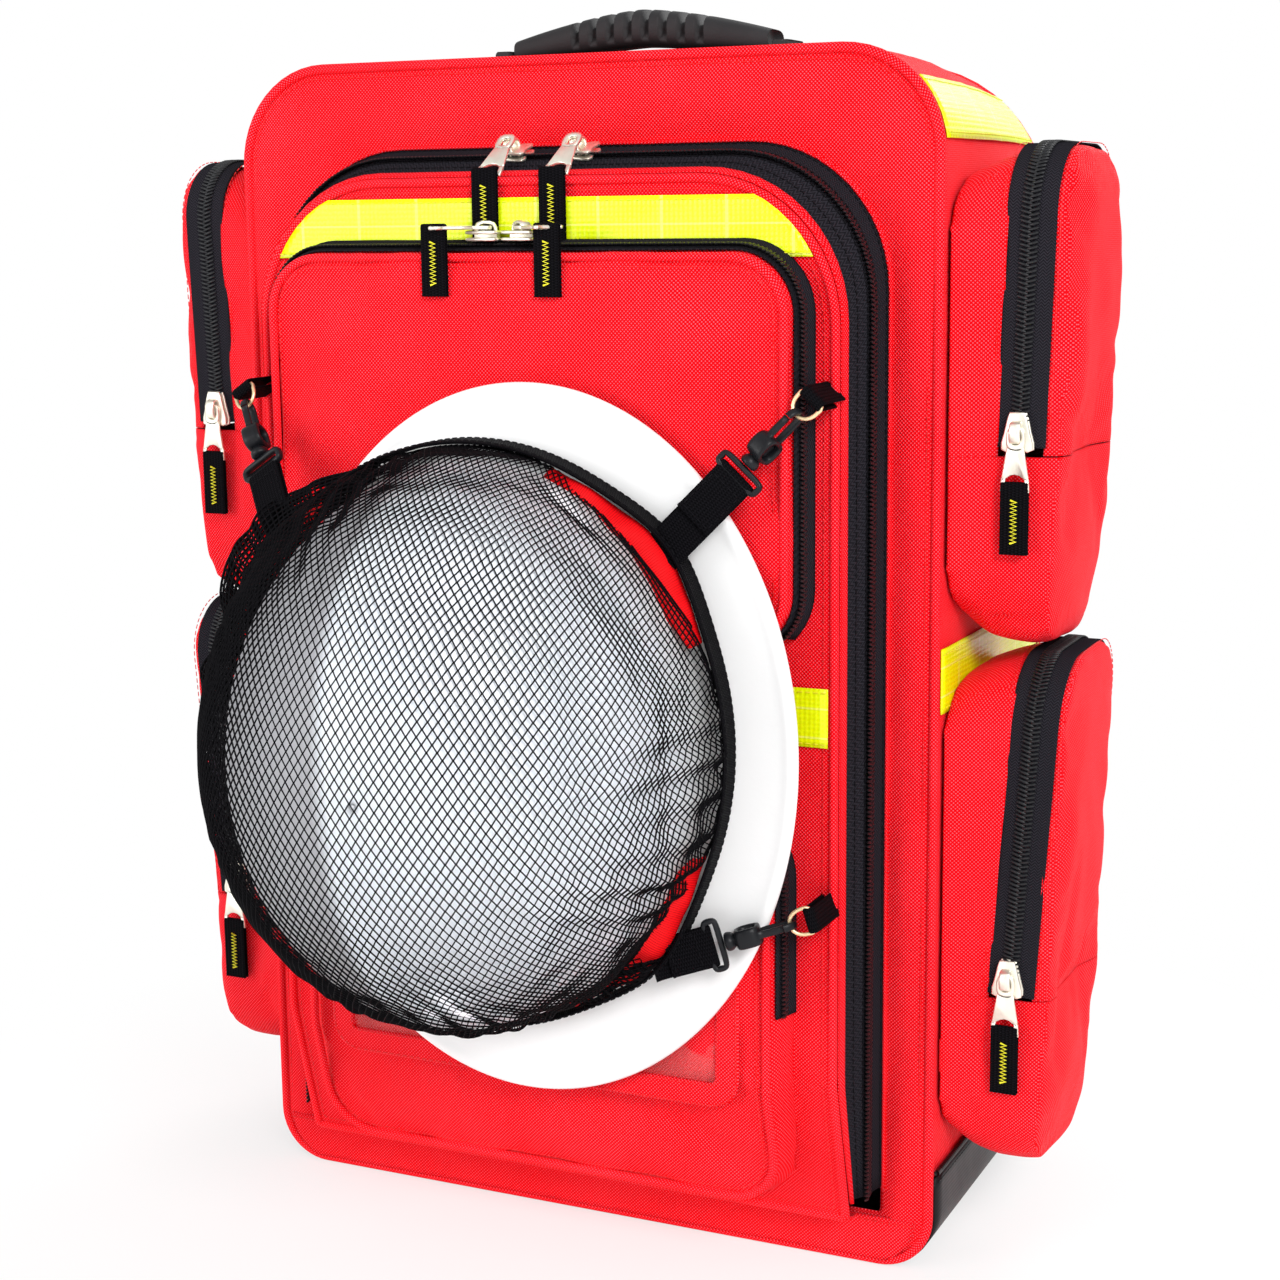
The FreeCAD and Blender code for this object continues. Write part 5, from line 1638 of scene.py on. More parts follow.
def net_edge():
    """Webbing rim round the net's mouth, with the red ribbon sewn inside it."""
    count = 180
    centre = helmet_place(Vector((NET_CENTRE.x, -NET_BASE, NET_CENTRE.z)))
    rim_path = [rim_place(2 * math.pi * i / count, NET_BASE, 1.2 * MM) for i in range(count)]
    ups = [(point - centre).normalized() for point in rim_path]
    rim = sweep(Shape(), rim_path, ups, flat_section(RIM_WIDTH, 1.6 * MM), closed=True)
    round_off(add_piece("net_rim_webbing", rim, "front_lid", webbing, ["net_rim"]))
    stitches = Shape()
    tilt = helmet_place(OUT) - helmet_place(Vector())
    for shift in (-0.38, 0.38):
        line = [p + tilt * shift * RIM_WIDTH + up * 0.9 * MM for p, up in zip(rim_path, ups)]
        stitch_line(stitches, line, ups, closed=True)
    add_piece("net_rim_stitches", stitches, "front_lid", black_thread)
    ribbon, bunch = Shape(), Shape()
    for start, stop in RIBBON_RUNS:
        ribbon.rows(crumpled(start, stop, 7, RIBBON_WIDTH, 0.0, 2.0 * MM))
    strip = add_piece("net_ribbon", ribbon, "front_lid", red_ribbon)
    thicken(strip, 0.8 * MM, offset=0.0)
    round_off(strip)
    for start, stop in BUNCH_RUNS:
        for depth in (1.6 * MM, 3.4 * MM):
            bunch.rows(crumpled(start, stop, 7, RIBBON_WIDTH * 1.25, depth, 4.0 * MM))
    threads(add_piece("net_bunch", bunch, "front_lid", net_thread), 1.3)


def skirt_reach(degrees):
    """How far the loose net hangs out beyond its rim at an angle."""
    for (a, first), (b, second) in zip(SKIRT, SKIRT[1:]):
        if a <= degrees <= b:
            t = (1 - math.cos(math.pi * (degrees - a) / (b - a))) / 2
            return (first + (second - first) * t) * MM
    return 0.0


def net_skirt():
    """Loose, scalloped net outside the rim, where it isn't pulled tight."""
    skirt = Shape()
    steps = 130
    for layer in (0.0, 1.0):
        rows = []
        for k in range(steps + 1):
            degrees = SKIRT[0][0] + (SKIRT[-1][0] - SKIRT[0][0]) * (k + layer * 0.5) / (steps + 1)
            reach = skirt_reach(degrees)
            angle = math.radians(degrees)
            row = []
            for m in range(10):
                t = m / 9
                wave_up = 3.5 * MM * math.sin(angle * 23 + layer) * t
                spot = Vector((math.cos(angle) * 8, math.sin(angle) * 8, t * 2 + layer * 9))
                jolt = noise.noise(spot) * 2 * MM
                lift = NET_BASE + 9 * MM - 12 * MM * t ** 2 + wave_up + jolt + layer * 1.5 * MM
                row.append(rim_place(angle, lift, -7 * MM + (reach + 7 * MM) * t + jolt * 0.5))
            rows.append(row)
        skirt.rows(rows)
    threads(add_piece("net_skirt", skirt, "front_lid", net_thread), 1.5)


def rim_place(angle, lift, out):
    """A point this far outside the net's mouth, at a lift above the brim's plane."""
    reach = rim_reach(angle)
    return helmet_place(Vector((NET_CENTRE.x + (NET_HALF.x * reach + out) * math.cos(angle), -lift,
                                NET_CENTRE.z + (NET_HALF.z * reach + out) * math.sin(angle))))


def crumpled(start, stop, across, width, above, depth):
    """Rows of points of a loose band inside the rim, from one angle to another."""
    rows = []
    steps = int(abs(stop - start) / 1.5)
    for k in range(steps + 1):
        angle = math.radians(start + (stop - start) * k / steps)
        taper = min(1.0, 5 * k / steps, 5 * (steps - k) / steps)
        row = []
        for m in range(across):
            t = m / (across - 1)
            spot = Vector((math.cos(angle) * 9, math.sin(angle) * 9, t * 1.2 + above * 400))
            jolt = noise.noise(spot) * depth
            inside = 1.0 * MM + width * t * (0.35 + 0.65 * taper) * 0.8
            lift = NET_BASE + RIM_WIDTH * 0.2 + width * 0.5 * math.sin(math.pi * 0.62 * t) + above + jolt
            row.append(rim_place(angle, lift, jolt * 0.6 - inside))
        rows.append(row)
    return rows


# ---- Corners: rings, hooks and straps ----------------------------------------------------------------
RING_X = 134.5 * MM
RING_STAND = 22.5 * MM
HOOK_START = 6.3 * MM
HOOK_LONG = 22 * MM
HOOK_HALF = 5.2 * MM
HOOK_BAR = 2 * MM
SWIVEL_LONG = 10 * MM
EYE_LONG = 8 * MM
EYE_HALF = 11.5 * MM
STRAP_WIDTH = 18 * MM
STRAP_THICK = 1.6 * MM
STRAP_FOLD = 24 * MM
GATE_SPAN = (12 * MM, 23 * MM)


def rim_point(corner):
    """Point on the rim's webbing that a corner's strap runs to."""
    angle = math.radians(corner["rim_angle"])
    x, z = (half + 2.3 * MM for half in (NET_HALF.x, NET_HALF.z))
    return helmet_place(Vector((NET_CENTRE.x + x * math.cos(angle), -NET_BASE - RIM_WIDTH / 3,
                                NET_CENTRE.z + z * math.sin(angle))))


def corner_frame(corner):
    """Ring bar's middle, the direction of pull and the bar's direction."""
    bar = Vector((corner["side"] * RING_X, LID_FACE - RING_STAND, corner["height"]))
    ahead = (rim_point(corner) - bar).normalized()
    return bar, ahead, OUT.cross(ahead).normalized()


def hook_matrix(corner, turn):
    """Matrix of a hook's place, turned about its length by an angle in degrees."""
    bar, ahead, bar_dir = corner_frame(corner)
    across = Matrix.Rotation(math.radians(turn * corner["side"]), 3, ahead) @ ahead.cross(bar_dir)
    return axes(ahead, across, bar)


def hook_shape():
    """Oval hook along X, open on one side for its gate, with the swivel's barrel and collar behind it."""
    tail = HOOK_START + HOOK_LONG
    r = HOOK_HALF - HOOK_BAR / 2
    bends = 10
    path = [Vector((GATE_SPAN[1] + 0.4 * MM, r, 0))]
    for middle, start in ((tail - HOOK_HALF, math.pi / 2), (HOOK_START + HOOK_HALF, -math.pi / 2)):
        for k in range(1, bends + 1):
            a = start - math.pi * k / bends
            path.append(Vector((middle + r * math.cos(a), r * math.sin(a), 0)))
    path.append(Vector((GATE_SPAN[0] - 0.4 * MM, r, 0)))
    hook = sweep(Shape(), path, UP, bar_section(HOOK_BAR / 2, 1.7 * MM))
    barrel = Matrix.Translation((tail - 1.2 * MM, 0, 0))
    hook.stamp(ring_plate(11.4 * MM, 12.6 * MM, 7.4 * MM, 7.4 * MM, 8.4 * MM), barrel)
    hook.stamp(rounded_plate(circle(4.2, 20), 3.8 * MM), barrel)
    collar = ((2.6, 0.02), (2.6, 2.5), (5.4, 2.5), (6.0, 3.9), (8.6, 4.3), (9.6, 3.4), (9.6, 0.02))
    hook.rows([[Vector((tail - 0.6 * MM + x * MM, s, t)) for s, t in circle(radius * MM, 20)]
               for x, radius in collar], around=True)
    return hook


def eye_shape():
    """Strap eye behind the swivel: an oblong frame of rounded bars."""
    bar = 1.3 * MM
    x0 = HOOK_START + HOOK_LONG + SWIVEL_LONG - 0.7 * MM + bar
    x1 = x0 + EYE_LONG - 2 * bar
    y = EYE_HALF - bar
    corners = [Vector((x0, -y, 0)), Vector((x1, -y, 0)), Vector((x1, y, 0)), Vector((x0, y, 0))]
    path = [a.lerp(b, 0.1 + 0.2 * k) for a, b in zip(corners, corners[1:] + corners[:1]) for k in range(5)]
    return sweep(Shape(), path, UP, bar_section(bar, 1.7 * MM), closed=True)


def strap_pieces(corner):
    """Strap from its eye to the rim, folded round the eye's bar, in the corner's own frame."""
    reach = (rim_point(corner) - corner_frame(corner)[0]).length - 0.6 * MM
    x0 = HOOK_START + HOOK_LONG + SWIVEL_LONG + EYE_LONG - 2.2 * MM
    lift = 1.1 * MM
    end = min(reach - 6 * MM, x0 + STRAP_FOLD)
    path = [Vector((reach + 1.5 * MM, 0, -lift * 0.2))]
    path += [Vector((reach + (x0 - reach) * k / 8, 0, -lift)) for k in range(1, 9)]
    for k in range(1, 5):
        a = math.pi * k / 5
        path.append(Vector((x0 - 2.2 * MM * math.sin(a), 0, -lift * math.cos(a))))
    path += [Vector((x0 + (end - x0) * k / 5, 0, lift * (1.0 - 0.25 * k / 5))) for k in range(6)]
    strap = sweep(Shape(), path, path_ups(path, Y), flat_section(STRAP_WIDTH, STRAP_THICK * 0.8))
    seams = Shape()
    half = STRAP_WIDTH * 0.4
    near, far = x0 + 4.5 * MM, end - 2 * MM
    box = [Vector((x, y, lift + STRAP_THICK * 0.45)) for x, y in
           ((near, -half), (near, half), (far, half), (far, -half), (near, -half))]
    for a, b in zip(box, box[1:]):
        if (b - a).length > 2 * MM:
            stitch_line(seams, [a.lerp(b, k / 6) for k in range(7)], UP)
    return strap, seams


def ring_shape():
    """Wire ring in the corner's frame: a straight bar along Y and a bow round it."""
    half = 5.0 * MM
    bow = half + 0.5 * MM
    reach = HOOK_START + HOOK_BAR + 1.0 * MM
    path = [Vector((0, -half + 2 * half * k / 6, 0)) for k in range(7)] + [Vector((1.2 * MM, bow, 0))]
    for k in range(1, 12):
        a = math.pi / 2 - math.pi * k / 12
        path.append(Vector((1.8 * MM + (reach - 1.8 * MM) * math.cos(a) ** 0.8, bow * math.sin(a), 0)))
    path.append(Vector((1.2 * MM, -bow, 0)))
    return sweep(Shape(), path, UP, circle(0.85 * MM, 10), closed=True)


def ring_tab(corner):
    """Webbing loop that holds the ring's bar and runs back to the lid's seam."""
    bar, ahead, bar_dir = corner_frame(corner)
    foot = bar - OUT * RING_STAND
    side = (ahead - OUT * ahead.dot(OUT)).normalized()
    r = 2.1 * MM
    path = [foot - side * r + OUT * RING_STAND * k / 6 for k in range(7)]
    for k in range(1, 6):
        a = math.pi * k / 6
        path.append(bar + OUT * r * math.sin(a) - side * r * math.cos(a))
    path += [foot + side * r + OUT * RING_STAND * (6 - k) / 6 for k in range(7)]
    return sweep(Shape(), path, path_ups(path, bar_dir), flat_section(11.2 * MM, 1.2 * MM))


def corner_fittings():
    """Rings, hooks, gates, eyes and straps at the four corners."""
    rings, tabs, eyes, straps, seams = Shape(), Shape(), Shape(), Shape(), Shape()
    y = HOOK_HALF - HOOK_BAR / 2
    bar_path = [Vector((GATE_SPAN[0] + (GATE_SPAN[1] - GATE_SPAN[0]) * k / 4, y, 0)) for k in range(5)]
    gate = sweep(Shape(), bar_path, UP, bar_section(0.7 * MM, 1.5 * MM, 0.6, 0.8))
    for name, corner in CORNERS.items():
        bar, ahead, bar_dir = corner_frame(corner)
        at = axes(ahead, bar_dir, bar)
        rings.stamp(ring_shape(), at)
        tabs.stamp(ring_tab(corner))
        eyes.stamp(eye_shape(), at)
        strap, seam = strap_pieces(corner)
        straps.stamp(strap, at)
        seams.stamp(seam, at)
        own = hook_matrix(corner, 18 if name.startswith("upper") else 0)
        hook = f"hook_{name}"
        round_off(add_piece(f"{hook}_body", Shape().stamp(hook_shape(), own), hook, black_plastic, [hook]))
        add_piece(f"{hook}_gate", Shape().stamp(gate, own), f"hook_gate_{name}", black_plastic,
                  [f"hook_gate_{name}"])
    add_piece("corner_rings", rings, "front_lid", ring_metal, ["d_rings"])
    round_off(add_piece("ring_tabs", tabs, "front_lid", webbing))
    round_off(add_piece("strap_eyes", eyes, "front_lid", black_plastic))
    round_off(add_piece("net_strap_webbing", straps, "front_lid", webbing, ["net_straps"]))
    add_piece("net_strap_stitches", seams, "front_lid", black_thread)


# ---- Handle ------------------------------------------------------------------------------------------
RIB_PITCH = 8.9 * MM
RIB_DEPTH = 4.2 * MM
RIB_FOOT = -0.43


def handle():
    """Moulded grip with ribs over its top, on two pinned feet."""
    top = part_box("handle_grip")[1].z
    half_long = 56 * MM
    reach = half_long + 8 * MM
    steps = 256
    rows = []
    for k in range(steps + 1):
        x = -reach + 2 * reach * k / steps
        share = abs(x) / reach
        half_thick = (17 * MM - 7 * MM * share ** 2) / 2
        middle = top - 11.5 * MM * share ** 1.5 - half_thick
        slot = (x / RIB_PITCH) % 1.0
        deep = RIB_DEPTH if 0.28 < slot < 0.72 and abs(x) < 4 * RIB_PITCH else 0.0
        width = 12.5 * MM - 2.5 * MM * share ** 3
        row = []
        for c, s in full_circle(24, 0.7):
            dip = deep if s > RIB_FOOT else 0.0
            row.append(Vector((x, (width - dip) * c, middle + (half_thick - dip) * s)))
        rows.append(row)
    grip = Shape().tube(rows)
    pin_z = joint_place("handle_tilt").z
    for side in (-1, 1):
        path = [Vector((side * (half_long + 4.2 * MM), 0, pin_z + z * MM)) for z in (-3.6, -1, 2, 5)]
        sweep(grip, path, X, flat_section(16 * MM, 7.4 * MM, 4))
        pin = [Vector((side * (half_long + x * MM), 0, pin_z)) for x in (7, 10, 14, 16.8)]
        sweep(grip, pin, UP, circle(2.4 * MM, 14))
    add_piece("handle_ribbed_grip", grip, "handle", ribbed_rubber, ["handle_grip"])
    low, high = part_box("handle_anchors")
    half = (high.x - half_long - 9.6 * MM) / 2
    feet = Shape()
    for side in (-1, 1):
        feet.tube([[Vector((side * (high.x - half) + half * c * (0.9 + 0.1 * share), high.y * s * share, z))
                    for c, s in full_circle(28, 0.4)]
                   for share, z in ((1.0, low.z - 0.2 * MM), (1.0, low.z + 5 * MM), (0.94, low.z + 7.4 * MM),
                                    (0.82, high.z))])
    add_piece("handle_feet", feet, "pack", ribbed_rubber, ["handle_anchors"])
    patch = sheet(grid(2, 20, lambda i, k: Vector((-88 + 176 * k / 20, (i - 1) * 19, 0)) * MM
                       + UP * (TOP + 2.3 * MM)))
    thicken(add_piece("handle_patch", patch, "pack", tarpaulin), 0.9 * MM)


# ---- Harness -----------------------------------------------------------------------------------------
def back_pads():
    """Lumbar and spine pads as swollen cloth with sewn channels."""
    low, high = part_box("back_pads")
    depth = high.y - low.y
    width = 111 * MM
    pads = {"lumbar": (0.0, 86 * MM, low.z, low.z + 96 * MM)}
    for side, word in reversed(SIDES):
        pads[f"spine_{word}"] = (side * (width + 18 * MM) / 2, width / 2, low.z + 114 * MM, high.z)
    base = BACK + 4.5 * MM
    for name, (centre, half, foot, top) in pads.items():
        rows = []
        for lift, inset in ((0, 0), (depth * 0.5, 0), (depth * 0.8, 1.5 * MM), (depth, 6 * MM)):
            r = 22 * MM - inset
            edge = outline(half - inset, foot + inset, top - inset, r, r, centre)
            rows.append(front_points(edge, BACK + 2.7 * MM + lift * 0.84))
        pad = cloth_block(f"pad_{name}", Shape().tube(rows).inside_out(), sizes().voxel)
        channels = [foot + (top - foot) * k / 3 for k in (1, 2)] if name != "lumbar" else []

        def held(p):
            return p.y < base or any(abs(p.z - c) < 3 * MM for c in channels)

        for vertex in pad.data.vertices:
            for c in channels:
                if vertex.co.y > base + 3 * MM:
                    vertex.co.y -= 6 * MM * math.exp(-((vertex.co.z - c) / (5 * MM)) ** 2)
        swell(pad, held, 3.0, 0.01, 4 * MM)
        round_off(pad)
        apply_modifiers(pad)
        settle(pad, "pack", air_mesh, ["back_pads"] if name == "lumbar" else [])
        edge = outline(half - 1 * MM, foot + 1 * MM, top - 1 * MM, 21 * MM, 21 * MM, centre)
        trim = sweep(Shape(), front_points(edge, BACK + 4 * MM), outward(edge), circle(1.8 * MM, 8),
                     closed=True)
        add_piece(f"pad_{name}_binding", trim, "pack", webbing)


def strap_line(offset):
    """Side view of a shoulder strap as three points of an arc."""
    return (Vector((0, BACK, 488 * MM - offset)), Vector((0, BACK + 62 * MM - offset, 345 * MM)),
            Vector((0, BACK + 40 * MM - offset, 190 * MM)))


def arc_through(a, b, c, count):
    """Points on the circle through three points of the plane X = 0."""
    turns = ((a, b, c), (b, c, a), (c, a, b))
    d = 2 * sum(p.y * (q.z - r.z) for p, q, r in turns)
    centre = Vector((0, sum((p.y ** 2 + p.z ** 2) * (q.z - r.z) for p, q, r in turns) / d,
                     sum((p.y ** 2 + p.z ** 2) * (r.y - q.y) for p, q, r in turns) / d))
    start, stop = (math.atan2(p.z - centre.z, p.y - centre.y) for p in (a, c))
    radius = (a - centre).length
    angles = [start + (stop - start) * k / count for k in range(count + 1)]
    return [centre + Vector((0, radius * math.cos(angle), radius * math.sin(angle))) for angle in angles]


STRAP_X = 66 * MM
STRAP_HALF = 32 * MM
STRAP_PAD = 12 * MM
STRAP_STEPS = 44
STRAP_WEB = (25 * MM, 1.8 * MM)
WEB_FOOT = Vector((140, 0, 40)) * MM
CHEST_HEIGHT = 330 * MM


def shoulder_straps():
    """Padded shoulder straps with bound edges, webbing down their middle and ladder locks."""
    line = arc_through(*strap_line(STRAP_PAD / 2), STRAP_STEPS)
    ups = [up_of(line, k) for k in range(STRAP_STEPS + 1)]
    halves = [STRAP_HALF * (1 - 0.16 * (k / STRAP_STEPS) ** 2) for k in range(STRAP_STEPS + 1)]
    locks, web, seams = Shape(), Shape(), Shape()
    for side, word in SIDES:
        middle = X * side * STRAP_X
        pad = Shape().tube([[p + middle + X * half * c + up * STRAP_PAD / 2 * s
                             for c, s in full_circle(24, 0.55, 0.8)]
                            for p, up, half in zip(line, ups, halves)])
        nodes = ["shoulder_straps"] if side > 0 else []
        piece = add_piece(f"shoulder_strap_{word}", pad, "pack", air_mesh, nodes)
        round_off(piece)
        for edge in (-1, 1):
            path = [p + middle + X * edge * (half - 0.6 * MM) for p, half in zip(line, halves)]
            sweep(web, path, X * edge, circle(2.0 * MM, 8))
        over = ups[3:40]
        path = [p + middle + up * (STRAP_PAD / 2 + 0.9 * MM) for p, up in zip(line[3:40], over)]
        sweep(web, path, over, flat_section(*STRAP_WEB))
        for shift in (-0.42, 0.42):
            row = [p + X * shift * STRAP_WEB[0] + up * 1.0 * MM for p, up in zip(path, over)]
            stitch_line(seams, row, over)
    lock = Vector((STRAP_X, BACK + 40 * MM - STRAP_PAD / 2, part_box("strap_hardware")[0].z + 13 * MM))
    for side in (-1, 1):
        middle = Vector((side * lock.x, lock.y, lock.z))
        for height in (-11, -3.5, 4, 11):
            bar = [middle + Vector((x, 0, height)) * MM for x in (-15, -7, 0, 7, 15)]
            sweep(locks, bar, OUT, [(s * 1.9, t * 2.2) for s, t in circle(MM, 10)])
        for x in (-15.4, 15.4):
            post = [middle + Vector((x, 0, z)) * MM for z in (-12, -6, 0, 6, 12)]
            sweep(locks, post, OUT, [(s * 1.7, t * 2.4) for s, t in circle(MM, 10)])
        end = Vector((side * WEB_FOOT.x, BACK + 3.2 * MM, WEB_FOOT.z))
        path = [middle.lerp(end, k / 12) - Y * 2.4 * MM * math.sin(math.pi * k / 12) for k in range(13)]
        sweep(web, path, (end - middle).cross(X).normalized(), flat_section(*STRAP_WEB))
    reach = max(p.y for p in line) + STRAP_PAD / 2 + 1.2 * MM
    for side in (-1, 1):
        path = [Vector((side * x * MM, reach, CHEST_HEIGHT)) for x in (20, 35, 50, 65, 78)]
        sweep(web, path, Y, flat_section(*STRAP_WEB))
    add_piece("harness_webbing", web, "pack", webbing, ["strap_webbing"])
    add_piece("harness_stitches", seams, "pack", black_thread)
    locks.stamp(chest_buckle(reach))
    round_off(add_piece("harness_buckles", locks, "pack", black_plastic, ["strap_hardware"]))


def up_of(line, k):
    """Direction away from the back at a point of a strap's line."""
    up = X.cross(ahead_at(line, k)).normalized()
    return up if up.y > 0 else -up


def chest_buckle(y):
    """Side-release buckle on the chest strap: a body and its two springs."""
    body = ((-20, -13), (-8, -14), (2, -12), (8, -14), (20, -13), (21, 0),
            (20, 13), (8, 14), (2, 12), (-8, 14), (-20, 13), (-21, 0))
    stand = Matrix(((1, 0, 0, 0), (0, 0, 1, y), (0, 1, 0, CHEST_HEIGHT), (0, 0, 0, 1)))
    buckle = Shape().stamp(rounded_plate(body, 7 * MM), stand)
    for side in (-1, 1):
        spring = [(x, side * z) for x, z in ((-6, 13), (0, 15), (6, 13), (4, 11), (-4, 11))]
        buckle.stamp(rounded_plate(spring, 5 * MM), stand)
    return buckle


# ---- Inside ------------------------------------------------------------------------------------------
SHELF_THICK = 3 * MM


def inner_shelves():
    """Lined shelves with a bound front edge."""
    low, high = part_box("inner_shelves")
    size = high - low
    shape, binding = Shape(), Shape()
    for z in (low.z, high.z - SHELF_THICK):
        shape.rows(grid(12, 28, lambda i, k: Vector((
            low.x + size.x * k / 28, low.y + size.y * i / 12,
            z + SHELF_THICK - 1.2 * MM * math.sin(math.pi * i / 12) * math.sin(math.pi * k / 28)))))
        edge = [Vector((low.x + size.x * k / 28, low.y, z + SHELF_THICK / 2)) for k in range(29)]
        sweep(binding, edge, UP, circle(2.3 * MM, 10))
    thicken(add_piece("shelf_cloth", shape, "pack", lining, ["inner_shelves"]), SHELF_THICK)
    add_piece("shelf_binding", binding, "pack", webbing)


# ---- Stage -------------------------------------------------------------------------------------------
CAMERA_PLACE = Vector((455.13, -993.28, 461.64)) * MM
CAMERA_TURN = math.radians(24.947)
CAMERA_DROP = math.radians(10.4526)
CAMERA_ROLL = math.radians(-0.645)
CAMERA_LENS = 64.61
FLOOR_NEAR = 0.62
FLOOR_FADE = 2.2
FLOOR_REACH = 6.0
WORLD_STRENGTH = 0.67
LAMP_AIM = Vector((0, 0, 0.27))
LAMPS = {
    "key_lamp": ((2.1, -2.2, 2.0), 1.3, 84),
    "fill_lamp": ((-1.7, -2.4, 0.8), 1.8, 40),
    "back_lamp": ((0.6, 2.4, 2.0), 1.8, 36),
}


def stage():
    """Camera at the photograph's angle, a pale floor and soft lamps."""
    scene = bpy.context.scene
    lens = bpy.data.cameras.new("photo_camera")
    lens.lens = CAMERA_LENS
    lens.sensor_width = 36
    lens.clip_start = 0.01
    scene.camera = into_scene("photo_camera", lens)
    turn = (Matrix.Rotation(CAMERA_TURN, 4, "Z") @ Matrix.Rotation(math.pi / 2 - CAMERA_DROP, 4, "X")
            @ Matrix.Rotation(CAMERA_ROLL, 4, "Z"))
    scene.camera.matrix_world = Matrix.Translation(CAMERA_PLACE) @ turn
    ends = (-FLOOR_REACH, FLOOR_REACH)
    ground = bare_object("floor", sheet([[Vector((x, y, 0)) for x in ends] for y in ends]).inside_out())
    ground.data.materials.append(pale_floor())
    for name, (place, size, power) in LAMPS.items():
        lamp = bpy.data.lights.new(name, "AREA")
        lamp.shape = "DISK"
        lamp.size = size
        lamp.energy = power
        holder = into_scene(name, lamp)
        holder.location = place
        holder.rotation_euler = (LAMP_AIM - Vector(place)).to_track_quat("-Z", "Y").to_euler()
    world_light()
    scene.view_settings.view_transform = "Standard"


def pale_floor():
    """White floor that keeps the pack's shadow and is plain white where the camera sees it far off."""
    finish = Finish("pale_floor", Roughness=0.9, Specular_IOR_Level=0.1)
    cloud = finish.grain(3, 2)
    finish.feed(Base_Color=finish.mix(cloud, (0.93, 0.93, 0.93), (0.95, 0.95, 0.95)))
    path = finish.tree.nodes.new("ShaderNodeLightPath")
    glow = finish.tree.nodes.new("ShaderNodeEmission")
    glow.inputs["Color"].default_value = (1, 1, 1, 1)
    blend = finish.tree.nodes.new("ShaderNodeMixShader")
    x, y = finish.parts(finish.node("ShaderNodeTexCoord", {}, {}, "Object"))[:2]
    fade = ((x * x + y * y) * FLOOR_FADE + FLOOR_NEAR).clamp()
    seen = Wire(finish, path.outputs["Is Camera Ray"]) * fade
    finish.tree.links.new(seen.socket, blend.inputs[0])
    finish.tree.links.new(finish.surface.outputs[0], blend.inputs[1])
    finish.tree.links.new(glow.outputs[0], blend.inputs[2])
    finish.tree.links.new(blend.outputs[0], finish.tree.nodes["Material Output"].inputs["Surface"])
    return finish.material


def world_light():
    """Even pale light from all round, plain white to the camera."""
    world = bpy.data.worlds.new("pale_world")
    bpy.context.scene.world = world
    world.use_nodes = True
    tree = world.node_tree
    path = tree.nodes.new("ShaderNodeLightPath")
    sky = tree.nodes["Background"]
    strength = tree.nodes.new("ShaderNodeMix")
    strength.data_type = "FLOAT"
    strength.inputs[2].default_value = WORLD_STRENGTH
    strength.inputs[3].default_value = 1.0
    seen = tree.nodes.new("ShaderNodeMath")
    seen.operation = "MAXIMUM"
    tree.links.new(path.outputs["Is Camera Ray"], seen.inputs[0])
    tree.links.new(path.outputs["Is Transmission Ray"], seen.inputs[1])
    tree.links.new(seen.outputs[0], strength.inputs[0])
    tree.links.new(strength.outputs[0], sky.inputs["Strength"])
    sky.inputs["Color"].default_value = (1, 1, 1, 1)


# ---- Operators, panel and the order of work -----------------------------------------------------------
class PieceOperator:
    """What every operator of this add-on shares: it calls its builders in order."""

    bl_options = {"REGISTER", "UNDO"}
    builders = ()

    def execute(self, context):
        for build in self.builders:
            build()
        return {"FINISHED"}


class BAG_OT_shell(PieceOperator, bpy.types.Operator):
    """Front panel, gusset, seams, base tub, back and side bands"""

    bl_idname = "bag.shell"
    bl_label = "Shell"
    builders = (front_panel, foot_strip, side_gusset, seam_piping, base_tub, back_board, side_bands)


class BAG_OT_side_pockets(PieceOperator, bpy.types.Operator):
    """Four side pockets with their flaps and zips"""

    bl_idname = "bag.side_pockets"
    bl_label = "Side pockets"
    builders = (lambda: side_pocket("upper"), lambda: side_pocket("lower"))


class BAG_OT_lid(PieceOperator, bpy.types.Operator):
    """Front lid with its zip and reflective bands"""

    bl_idname = "bag.lid"
    bl_label = "Front lid"
    builders = (lid_face, lid_gusset, lid_bands)


class BAG_OT_front_pockets(PieceOperator, bpy.types.Operator):
    """Two front pockets and the document window"""

    bl_idname = "bag.front_pockets"
    bl_label = "Front pockets"
    builders = (lambda: front_pocket("upper"), lambda: front_pocket("lower"), document_window)


class BAG_OT_sliders(PieceOperator, bpy.types.Operator):
    """Zip sliders, metal pulls and their webbing tabs"""

    bl_idname = "bag.sliders"
    bl_label = "Sliders and pulls"
    builders = (all_sliders,)


class BAG_OT_helmet(PieceOperator, bpy.types.Operator):
    """White helmet on the front of the lid"""

    bl_idname = "bag.helmet"
    bl_label = "Helmet"
    builders = (helmet,)


class BAG_OT_net(PieceOperator, bpy.types.Operator):
    """Helmet net with its rim, straps, hooks and rings"""

    bl_idname = "bag.net"
    bl_label = "Helmet net"
    builders = (net_mesh, net_edge, net_skirt, corner_fittings)


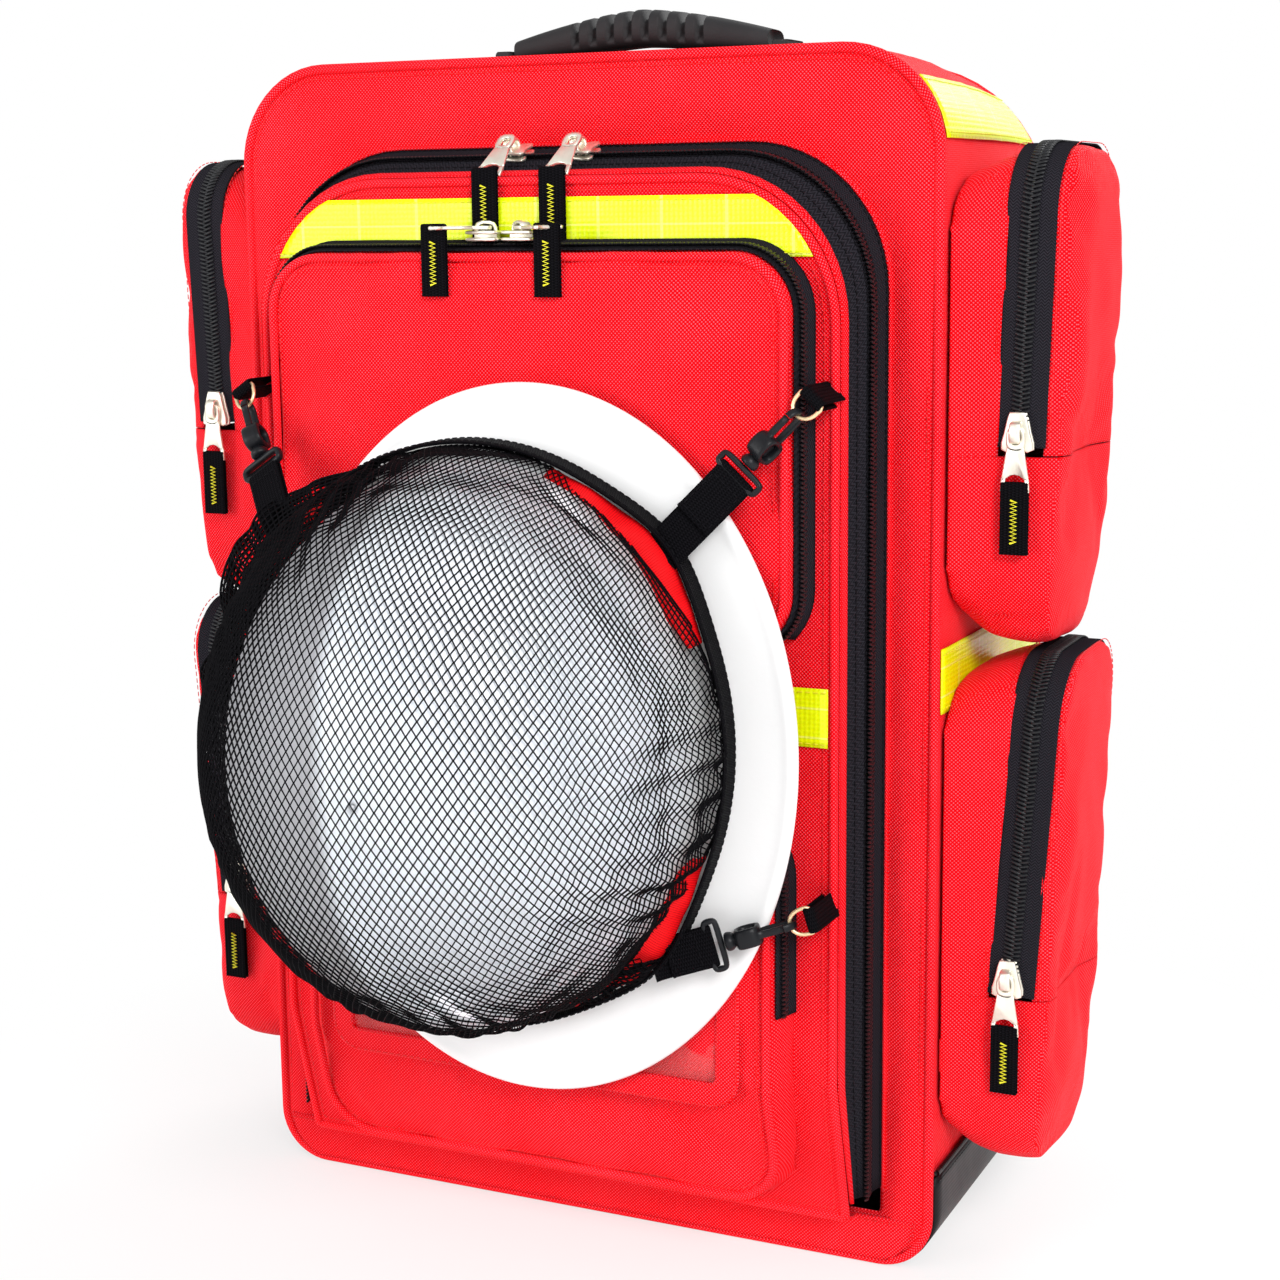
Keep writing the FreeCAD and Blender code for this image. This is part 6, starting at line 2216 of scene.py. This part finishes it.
class BAG_OT_handle(PieceOperator, bpy.types.Operator):
    """Ribbed carrying handle"""

    bl_idname = "bag.handle"
    bl_label = "Handle"
    builders = (handle,)


class BAG_OT_harness(PieceOperator, bpy.types.Operator):
    """Back pads, shoulder straps and chest strap"""

    bl_idname = "bag.harness"
    bl_label = "Harness"
    builders = (back_pads, shoulder_straps)


class BAG_OT_inside(PieceOperator, bpy.types.Operator):
    """Shelves behind the lid"""

    bl_idname = "bag.inside"
    bl_label = "Inside"
    builders = (inner_shelves,)


class BAG_OT_stage(PieceOperator, bpy.types.Operator):
    """Camera, floor and lamps"""

    bl_idname = "bag.stage"
    bl_label = "Stage"
    builders = (stage,)


OPERATORS = (BAG_OT_shell, BAG_OT_side_pockets, BAG_OT_lid, BAG_OT_front_pockets, BAG_OT_sliders,
             BAG_OT_helmet, BAG_OT_net, BAG_OT_handle, BAG_OT_harness, BAG_OT_inside, BAG_OT_stage)


class BAG_PT_panel(bpy.types.Panel):
    """Lists the backpack's pieces, sizes and colours"""

    bl_idname = "BAG_PT_panel"
    bl_label = "Emergency backpack"
    bl_space_type = "VIEW_3D"
    bl_region_type = "UI"
    bl_category = "Backpack"

    def draw(self, context):
        for operator in OPERATORS:
            self.layout.operator(operator.bl_idname)
        for group in (context.scene.bag_sizes, context.scene.bag_colours):
            for key in group.bl_rna.properties.keys():
                if key not in ("rna_type", "name"):
                    self.layout.prop(group, key)


CLASSES = (BagSizes, BagColours, *OPERATORS, BAG_PT_panel)


def register():
    for cls in CLASSES:
        bpy.utils.register_class(cls)
    bpy.types.Scene.bag_sizes = bpy.props.PointerProperty(type=BagSizes)
    bpy.types.Scene.bag_colours = bpy.props.PointerProperty(type=BagColours)


def unregister():
    del bpy.types.Scene.bag_sizes
    del bpy.types.Scene.bag_colours
    for cls in reversed(CLASSES):
        bpy.utils.unregister_class(cls)


def main():
    register()
    for operator in OPERATORS:
        group, name = operator.bl_idname.split(".")
        getattr(getattr(bpy.ops, group), name)()


if __name__ == "__main__":
    main()
